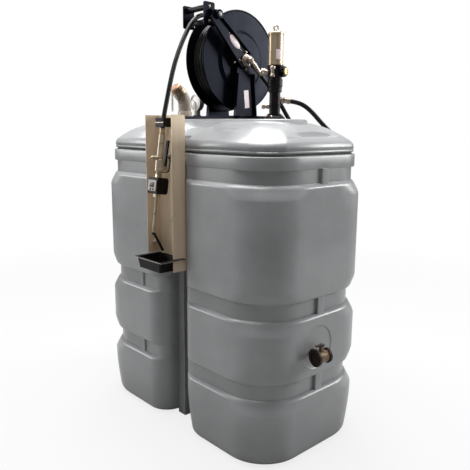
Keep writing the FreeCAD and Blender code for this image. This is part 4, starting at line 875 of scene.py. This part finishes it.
# pump: blank label on the cylinder, brass plug on the round face, ribbed knob and small fittings;
# each turn is in degrees round the pump, and each profile is a list of (radius, height)
pumpSizes = {
    "cylinderRadius": 0.034,
    "labelTurn": -22.0,
    "labelHalfTurn": 21.0,
    "labelSteps": 12,
    "labelLevel": 1.7876,
    "labelHalfHigh": 0.021,
    "labelGap": (0.0001, 0.0007),  # its back and its front, off the cylinder
    "faceTurn": 10.0,
    "faceReach": 0.056,
    "faceLevel": 1.712,
    "plugProfile": ((0.0155, -0.001), (0.0155, 0.002), (0.0135, 0.0038), (0.0105, 0.0042),
        (0.0098, 0.0026), (0.004, 0.0022)),
    "plugScrews": 6,
    "plugScrewStart": 30,
    "plugScrewRadius": 0.0018,
    "plugScrewCircle": 0.0215,
    "plugScrewBack": 0.006,
    "knobTurn": -130.0,
    "knobFrom": 0.049,
    "knobRibs": 22,
    "knobSections": ((0.0158, 0.0008, 0.001), (0.0168, 0.0014, 0.002),  # radius, depth of the ribs, height
        (0.0168, 0.0014, 0.0125), (0.0158, 0.0008, 0.0145)),
    "knobBoss": ((0.011, 0.0145), (0.011, 0.0165), (0.0095, 0.0172)),
    "elbowTurn": -62.0,
    "elbowReach": 0.043,
    "elbowDown": 0.024,
    "elbowProfile": ((0.007, 0), (0.0105, 0.002), (0.0105, 0.01), (0.0085, 0.012),
        (0.0085, 0.034), (0.0115, 0.035), (0.0115, 0.045), (0.009, 0.047)),
    "elbowNeck": ((0.007, -0.012), (0.007, 0.004)),
    "elbowNeckRise": 0.022,
    "drainTurn": -140.0,
    "drainLevel": 1.5607,
    "drainSunk": 0.002,
    "drainProfile": ((0.012, 0), (0.012, 0.01), (0.0095, 0.011), (0.0095, 0.018),
        (0.0125, 0.019), (0.0125, 0.032), (0.01, 0.034)),
    "flangeThick": 0.012,
    "flangeBolts": dict(size=0.008, count=4, radius=0.0405, start=20, spin=31),
}


def makePumpFittings(sizes):
    axis = middle("pump_cylinder")
    axis.z = 0
    steps, level, halfHigh = sizes["labelSteps"], sizes["labelLevel"], sizes["labelHalfHigh"]
    turns = [sizes["labelTurn"] + sizes["labelHalfTurn"] * (2 * i / steps - 1) for i in range(steps + 1)]
    back, front = [sizes["cylinderRadius"] + gap for gap in sizes["labelGap"]]
    outline = [axis + roundDirection(turn) * front for turn in turns]
    outline += [axis + roundDirection(turn) * back for turn in reversed(turns)]
    rings = [[point + upward(z) for point in outline] for z in (level - halfHigh, level + halfHigh)]
    skinPiece("pumpLabel", rings, Matrix(), "blankVinyl")

    out = roundDirection(sizes["faceTurn"])
    face = axis + out * sizes["faceReach"] + upward(sizes["faceLevel"])
    skinPiece("airChamberPlug", circles(sizes["plugProfile"]), standing(face, out), "machinedBrass")
    mesh = bmesh.new()
    for i in range(sizes["plugScrews"]):
        angle = radians(360 / sizes["plugScrews"] * i + sizes["plugScrewStart"])
        spoke = Matrix.Rotation(angle, 3, out) @ upward(sizes["plugScrewCircle"])
        addDomeScrew(mesh, face - out * sizes["plugScrewBack"] + spoke, out, sizes["plugScrewRadius"])
    finishPiece("airChamberScrews", mesh)

    out = roundDirection(sizes["knobTurn"])
    knob = standing(axis + out * sizes["knobFrom"] + upward(sizes["faceLevel"]), out)
    mesh = bmesh.new()
    skin(mesh, [ribbed(*section, sizes["knobRibs"]) for section in sizes["knobSections"]], knob)
    skin(mesh, circles(sizes["knobBoss"]), knob)
    finishPiece("regulatorKnob", mesh)

    out = roundDirection(sizes["elbowTurn"])
    foot = axis + out * sizes["elbowReach"] + upward(sizes["faceLevel"] - sizes["elbowDown"])
    mesh = bmesh.new()
    skin(mesh, circles(sizes["elbowProfile"]), standing(foot))
    skin(mesh, circles(sizes["elbowNeck"]), standing(foot + upward(sizes["elbowNeckRise"]), out))
    finishPiece("airElbow", mesh)

    out = roundDirection(sizes["drainTurn"])
    low, high = box("pump_tube")
    start = axis + out * ((high.x - low.x) / 2 - sizes["drainSunk"]) + upward(sizes["drainLevel"])
    skinPiece("drainPlug", circles(sizes["drainProfile"]), standing(start, out), "zincPlatedSteel")

    mesh = bmesh.new()
    flange = box("pump_flange")[0].z + sizes["flangeThick"]
    addBoltRing(mesh, axis + upward(flange), **sizes["flangeBolts"])
    finishPiece("pumpFlangeBolts", mesh)


makePumpFittings(pumpSizes)


# level gauge: dial with plain ticks and a pointer behind the bezel, and the nut at its foot
gaugeSizes = {
    "dialDown": 0.043,  # from the gauge's top to the middle of the dial
    "recess": 0.012,  # from the middle plane to the face under the bezel
    "dialProfile": ((0.0365, 0), (0.0365, 0.0008), (0.0355, 0.001)),
    "tickRadius": 0.031,
    "ticks": 9,
    "tickSpan": 240.0,
    "tickHalfLong": (0.0035, 0.0022),  # every other tick is shorter
    "tickHalfWide": 0.0007,
    "tickRound": 0.0003,
    "tickLevels": (0.001, 0.0014),
    "pointerTurn": 52.0,
    "pointerOutline": ((-0.0022, -0.006), (0.0022, -0.006), (0.0006, 0.026), (-0.0006, 0.026)),
    "pointerLevels": (0.0016, 0.0022),
    "pinProfile": ((0.004, 0.001), (0.004, 0.003), (0.0032, 0.0036)),
    "nutRise": 0.008,
    "nutRibs": 20,
    "nutSections": ((0.0225, 0.0012, 0), (0.0225, 0.0012, 0.009), (0.021, 0.0008, 0.0105)),
}


def makeGauge(sizes):
    low, high = box("level_gauge")
    centre = (low + high) / 2
    matrix = facingFront((centre.x, centre.y - sizes["recess"], high.z - sizes["dialDown"]))
    skinPiece("gaugeDial", circles(sizes["dialProfile"], 48), matrix, "polycarbonate")

    mesh = bmesh.new()
    halfWide, levels = sizes["tickHalfWide"], sizes["tickLevels"]
    for i in range(sizes["ticks"]):
        angle = sizes["tickSpan"] * (i / (sizes["ticks"] - 1) - 0.5)
        turn = matrix @ spun(angle, "Z")
        turn = turn @ moved((0, sizes["tickRadius"], 0))
        halfLong = sizes["tickHalfLong"][i % 2]
        skin(mesh, [rounded(halfWide, halfLong, sizes["tickRound"], level, 1) for level in levels], turn)
    turn = matrix @ spun(sizes["pointerTurn"], "Z")
    outline = sizes["pointerOutline"]
    skin(mesh, [[(x, y, level) for x, y in outline] for level in sizes["pointerLevels"]], turn)
    skin(mesh, circles(sizes["pinProfile"], 24), matrix)
    finishPiece("gaugePointer", mesh, "dialInk")

    rings = [ribbed(*section, sizes["nutRibs"]) for section in sizes["nutSections"]]
    skinPiece("gaugeNut", rings, moved((centre.x, centre.y, low.z + sizes["nutRise"])), "mouldedBlackPlastic")


makeGauge(gaugeSizes)


# fill pipe: bolts on its flange, the cast skin round its bend and the rings of its coupling
fillSizes = {
    "bendAngle": 45.0,
    "bendRadius": 0.070,
    "bendSteps": 10,
    "footProfile": ((0.0375, 0.0), (0.0375, 0.026), (0.0365, 0.028), (0.0335, 0.029), (0.0335, 0.062)),
    "collarProfile": ((0.0355, 0.001), (0.0355, 0.006)),
    "ringStarts": (0.0085, 0.0175, 0.0265),
    "ringProfile": ((0.0345, 0), (0.0355, 0.001), (0.0355, 0.004), (0.0345, 0.005)),
    "flangeBolts": dict(size=0.007, count=6, radius=0.0375, start=15, spin=40),
}


def makeFillFittings(sizes):
    low, high = box("fill_flange")
    foot = Vector(((low.x + high.x) / 2, (low.y + high.y) / 2, high.z))
    mesh = bmesh.new()
    addBoltRing(mesh, foot, **sizes["flangeBolts"])
    finishPiece("fillFlangeBolts", mesh)

    # from the pipe's foot round the bend, with a collar at each end
    thick, rise = sizes["footProfile"][-1]
    bend, steps = sizes["bendRadius"], sizes["bendSteps"]
    rings = [[foot + Vector(point) for point in ring] for ring in circles(sizes["footProfile"])]
    for step in range(1, steps + 1):
        angle = radians(sizes["bendAngle"] * step / steps)
        spot = foot + Vector((0, -bend * (1 - cos(angle)), rise + bend * sin(angle)))
        turn = moved(spot) @ Matrix.Rotation(angle, 4, "X")
        rings.append([turn @ Vector(point) for point in circle(thick, 0)])
    rings += [[turn @ Vector(point) for point in ring] for ring in circles(sizes["collarProfile"])]
    skinPiece("fillPipeSkin", rings, Matrix(), "nickelPlatedCasting")

    mesh = bmesh.new()
    for start in sizes["ringStarts"]:
        skin(mesh, circles(sizes["ringProfile"]), turn @ moved((0, 0, start)))
    finishPiece("fillCouplingRings", mesh, "satinNickel")


makeFillFittings(fillSizes)


# bracket and holder: pale screws, and the bright plate that clamps the holder
bracketSizes = {
    "backFace": -0.338,
    "screws": [(-0.004, 1.334), (0.0, 1.039)],
    "screwRadius": 0.009,
    "sideFace": -0.093,
    "sideScrew": (-0.372, 0.923),
    "holderScrewRadius": 0.0028,
    "holderScrewMargin": 0.009,
    "holderScrewRise": 0.011,
    "clampHalfHigh": 0.0012,
    "clampRound": 0.0006,
    "clampThick": 0.0012,
}


def makeBracketFittings(sizes):
    mesh = bmesh.new()
    for x, z in sizes["screws"]:
        addDomeScrew(mesh, (x, sizes["backFace"], z), (0, -1, 0), sizes["screwRadius"])
    addDomeScrew(mesh, (sizes["sideFace"], *sizes["sideScrew"]), (1, 0, 0), sizes["screwRadius"])
    finishPiece("bracketScrews", mesh, "nickelPlatedCasting")

    low, high = box("hose_holder")
    centre = (low + high) / 2
    margin, level = sizes["holderScrewMargin"], centre.z + sizes["holderScrewRise"]
    mesh = bmesh.new()
    for x in (low.x + margin, high.x - margin):
        addDomeScrew(mesh, (x, low.y, level), (0, -1, 0), sizes["holderScrewRadius"])
    finishPiece("holderScrews", mesh, "paintedCastIron")
    halfWide, halfHigh, radius = (high.x - low.x) / 2, sizes["clampHalfHigh"], sizes["clampRound"]
    rings = [rounded(halfWide, halfHigh, radius, level, 2) for level in (0, sizes["clampThick"])]
    skinPiece("holderPlate", rings, facingFront((centre.x, low.y, centre.z)), "zincPlatedSteel")


makeBracketFittings(bracketSizes)


# gun: window with plain digits, buttons, union rings and the lever's sleeve; levels are below the inlet
gunSizes = {
    "inlet": (0.005, -0.385, 1.456),
    "tilt": 7.4,
    "meterFront": -0.031,
    "meterLevel": -0.257,
    "windowHalf": (0.017, 0.0115),
    "windowRise": 0.004,
    "windowSection": ((0, 0.002, -0.0005), (0, 0.002, 0.0008), (0.001, 0.0015, 0.0012)),
    "digits": 4,
    "digitHigh": 0.011,
    "digitWide": 0.0055,
    "digitStep": 0.0078,
    "digitBar": 0.0009,
    "digitRound": 0.0002,
    "digitLevels": (0.0012, 0.0014),
    "buttonPlaces": ((-0.010, -0.0165), (0.010, -0.0165)),
    "buttonProfile": ((0.0045, -0.0004), (0.0045, 0.0012), (0.0036, 0.0018)),
    "rings": ((-0.2065, -0.2025, 0.0145), (-0.304, -0.2945, 0.0135),  # start, end, radius
        (-0.023, -0.019, 0.0125), (-0.131, -0.127, 0.0172)),
    "ringEdge": (0.001, 0.0008),
    "sleeveHalf": (0.0095, 0.0048),
    "sleeveRound": 0.0025,
    "sleeveSections": ((0.002, 0.0305, -0.16), (0, 0.0305, -0.157),  # inset, how far back, level
        (0, 0.0318, -0.115), (0, 0.0358, -0.058), (0.002, 0.0361, -0.054)),
}


def makeMeterFittings(sizes, gun):
    front = moved((0, sizes["meterFront"], sizes["meterLevel"]))
    plate = gun @ front @ spun(90, "X")
    window = plate @ moved((0, sizes["windowRise"], 0))
    halfWide, halfHigh = sizes["windowHalf"]
    rings = [rounded(halfWide - inset, halfHigh - inset, radius, height)
             for inset, radius, height in sizes["windowSection"]]
    skinPiece("meterWindow", rings, window, "displayWindow")

    # each digit is a plain nought of six bars
    high, wide, bar = sizes["digitHigh"], sizes["digitWide"], sizes["digitBar"]
    mesh = bmesh.new()
    for i in range(sizes["digits"]):
        x = sizes["digitStep"] * (i - (sizes["digits"] - 1) / 2)
        bars = [(x, half * high / 2, wide / 2 - bar, bar / 2) for half in (1, -1)]
        for side in (-1, 1):
            for half in (-1, 1):
                bars.append((x + side * wide / 2, half * high / 4, bar / 2, high / 4 - bar / 2))
        for barX, barY, halfX, halfY in bars:
            rings = [rounded(halfX, halfY, sizes["digitRound"], level, 1) for level in sizes["digitLevels"]]
            skin(mesh, rings, window @ moved((barX, barY, 0)))
    finishPiece("meterDigits", mesh, "dialInk")

    mesh = bmesh.new()
    for x, y in sizes["buttonPlaces"]:
        skin(mesh, circles(sizes["buttonProfile"], 24), plate @ moved((x, y, 0)))
    finishPiece("meterButtons", mesh, "mouldedBlackPlastic")


def makeGunFittings(sizes):
    gun = moved(sizes["inlet"]) @ spun(-sizes["tilt"], "X")
    makeMeterFittings(sizes, gun)

    inset, edge = sizes["ringEdge"]
    mesh = bmesh.new()
    for start, end, radius in sizes["rings"]:
        neck = radius - inset
        profile = ((neck, start), (radius, start + edge), (radius, end - edge), (neck, end))
        skin(mesh, circles(profile), gun)
    finishPiece("gunRings", mesh, "machinedBrass")

    halfWide, halfDeep = sizes["sleeveHalf"]
    rings = []
    for inset, back, level in sizes["sleeveSections"]:
        section = rounded(halfWide - inset, halfDeep - inset, sizes["sleeveRound"], level)
        rings.append([(x, y + back, z) for x, y, z in section])
    skinPiece("leverGrip", rings, gun, "mouldedBlackPlastic", body="trigger")


makeGunFittings(gunSizes)


# drip tray: pale bead round the rim
traySizes = {
    "beadRadius": 0.0016,
    "beadInset": 0.4,  # share of the bead's radius that lies inside the tray's edge
    "beadDown": 0.004,
    "beadSteps": 8,
    "edgeRound": 0.004,
}


def makeTrayFittings(sizes):
    bead, steps = sizes["beadRadius"], sizes["beadSteps"]
    angles = [2 * pi * i / steps for i in range(steps)]
    section = [(bead * (cos(angle) - sizes["beadInset"]), bead * sin(angle)) for angle in angles]
    mesh = bmesh.new()
    frameRound(mesh, "drip_tray", box("drip_tray")[1].z - sizes["beadDown"], sizes["edgeRound"], section, 4)
    finishPiece("trayBead", mesh, "anodisedPlate", body="tray")


makeTrayFittings(traySizes)
print("stage: small pieces made")


# floor and light: a wide lamp overhead and one to each side of the camera's line, so that the near corner
# stays darker than the faces beside it
stageSettings = {
    "floorSize": 40.0,
    "floorTone": "#a2a2a2",  # what the floor throws back on the object and takes as its shadow
    "floorRoughness": 0.9,
    "floorGlow": 0.8,  # share of plain white that the camera sees in the floor near the tank
    "fadeFrom": 1.6,  # metres from the middle, past which the floor turns all white
    "fadeWidth": 3.0,
    "worldLevel": 0.23,
    "mirroredLevel": 0.42,  # how bright the surroundings are in what mirrors them
    "lamps": [
        # name, place, aimed at, size in metres, watts
        ("overhead", (-0.4, 0.0, 4.8), (0, 0, 1.2), 4.0, 620),
        ("left", (-4.9, -3.7, 2.6), (0, 0, 1.0), 2.4, 175),
        ("right", (3.4, 4.9, 2.8), (0, 0, 1.0), 2.4, 330),
    ],
}


def makeWorld(settings):
    # white to the camera and through glass, plain and dimmer in its light and in mirrored surroundings
    world = bpy.data.worlds.new("studio")
    scene.world = world
    world.use_nodes = True
    world.node_tree.nodes.clear()
    path = addNode(world, "ShaderNodeLightPath")
    seen = addNode(world, "ShaderNodeMath", {
        0: (path, "Is Camera Ray"), 1: (path, "Is Transmission Ray")}, operation="MAXIMUM")
    soft, mirrored, white = [
        addNode(world, "ShaderNodeBackground", {"Color": (1, 1, 1, 1), "Strength": strength})
        for strength in (settings["worldLevel"], settings["mirroredLevel"], 1.0)]
    around = addNode(world, "ShaderNodeMixShader", {
        0: (path, "Is Glossy Ray"), 1: (soft, "Background"), 2: (mirrored, "Background")})
    mix = addNode(world, "ShaderNodeMixShader", {
        0: (seen, "Value"), 1: (around, "Shader"), 2: (white, "Background")})
    addNode(world, "ShaderNodeOutputWorld", {"Surface": (mix, "Shader")})


def makeFloor(settings):
    size = settings["floorSize"] / 2
    mesh = bpy.data.meshes.new("floor")
    corners = [(-size, -size, 0), (size, -size, 0), (size, size, 0), (-size, size, 0)]
    mesh.from_pydata(corners, [], [(0, 1, 2, 3)])
    floor = bpy.data.objects.new("floor", mesh)
    scene.collection.objects.link(floor)
    paint = startMaterial("paleFloor")
    shader = addNode(paint, "ShaderNodeBsdfPrincipled", {
        "Base Color": linear(settings["floorTone"]), "Roughness": settings["floorRoughness"],
        "Specular IOR Level": 0.0})
    glow = addNode(paint, "ShaderNodeEmission", {"Color": (1, 1, 1, 1), "Strength": 1.0})
    path = addNode(paint, "ShaderNodeLightPath")
    place = addNode(paint, "ShaderNodeTexCoord")
    reach = addNode(paint, "ShaderNodeVectorMath", {0: (place, "Object")}, operation="LENGTH")
    fade = addNode(paint, "ShaderNodeMapRange", {
        "Value": (reach, "Value"), "From Min": settings["fadeFrom"],
        "From Max": settings["fadeFrom"] + settings["fadeWidth"],
        "To Min": settings["floorGlow"], "To Max": 1.0})
    share = addNode(paint, "ShaderNodeMath", {
        0: (path, "Is Camera Ray"), 1: (fade, "Result")}, operation="MULTIPLY")
    mix = addNode(paint, "ShaderNodeMixShader", {
        0: (share, "Value"), 1: (shader, "BSDF"), 2: (glow, "Emission")})
    addNode(paint, "ShaderNodeOutputMaterial", {"Surface": (mix, "Shader")})
    wear(floor, paint)


def makeLamps(settings):
    for name, place, target, width, watts in settings["lamps"]:
        data = bpy.data.lights.new(name, "AREA")
        data.size = width
        data.energy = watts
        lamp = bpy.data.objects.new(name, data)
        scene.collection.objects.link(lamp)
        lamp.location = place
        lamp.rotation_euler = (Vector(target) - Vector(place)).to_track_quat("-Z", "Y").to_euler()


makeWorld(stageSettings)
makeFloor(stageSettings)
makeLamps(stageSettings)
scene.view_settings.view_transform = "Standard"
print("stage: lit")
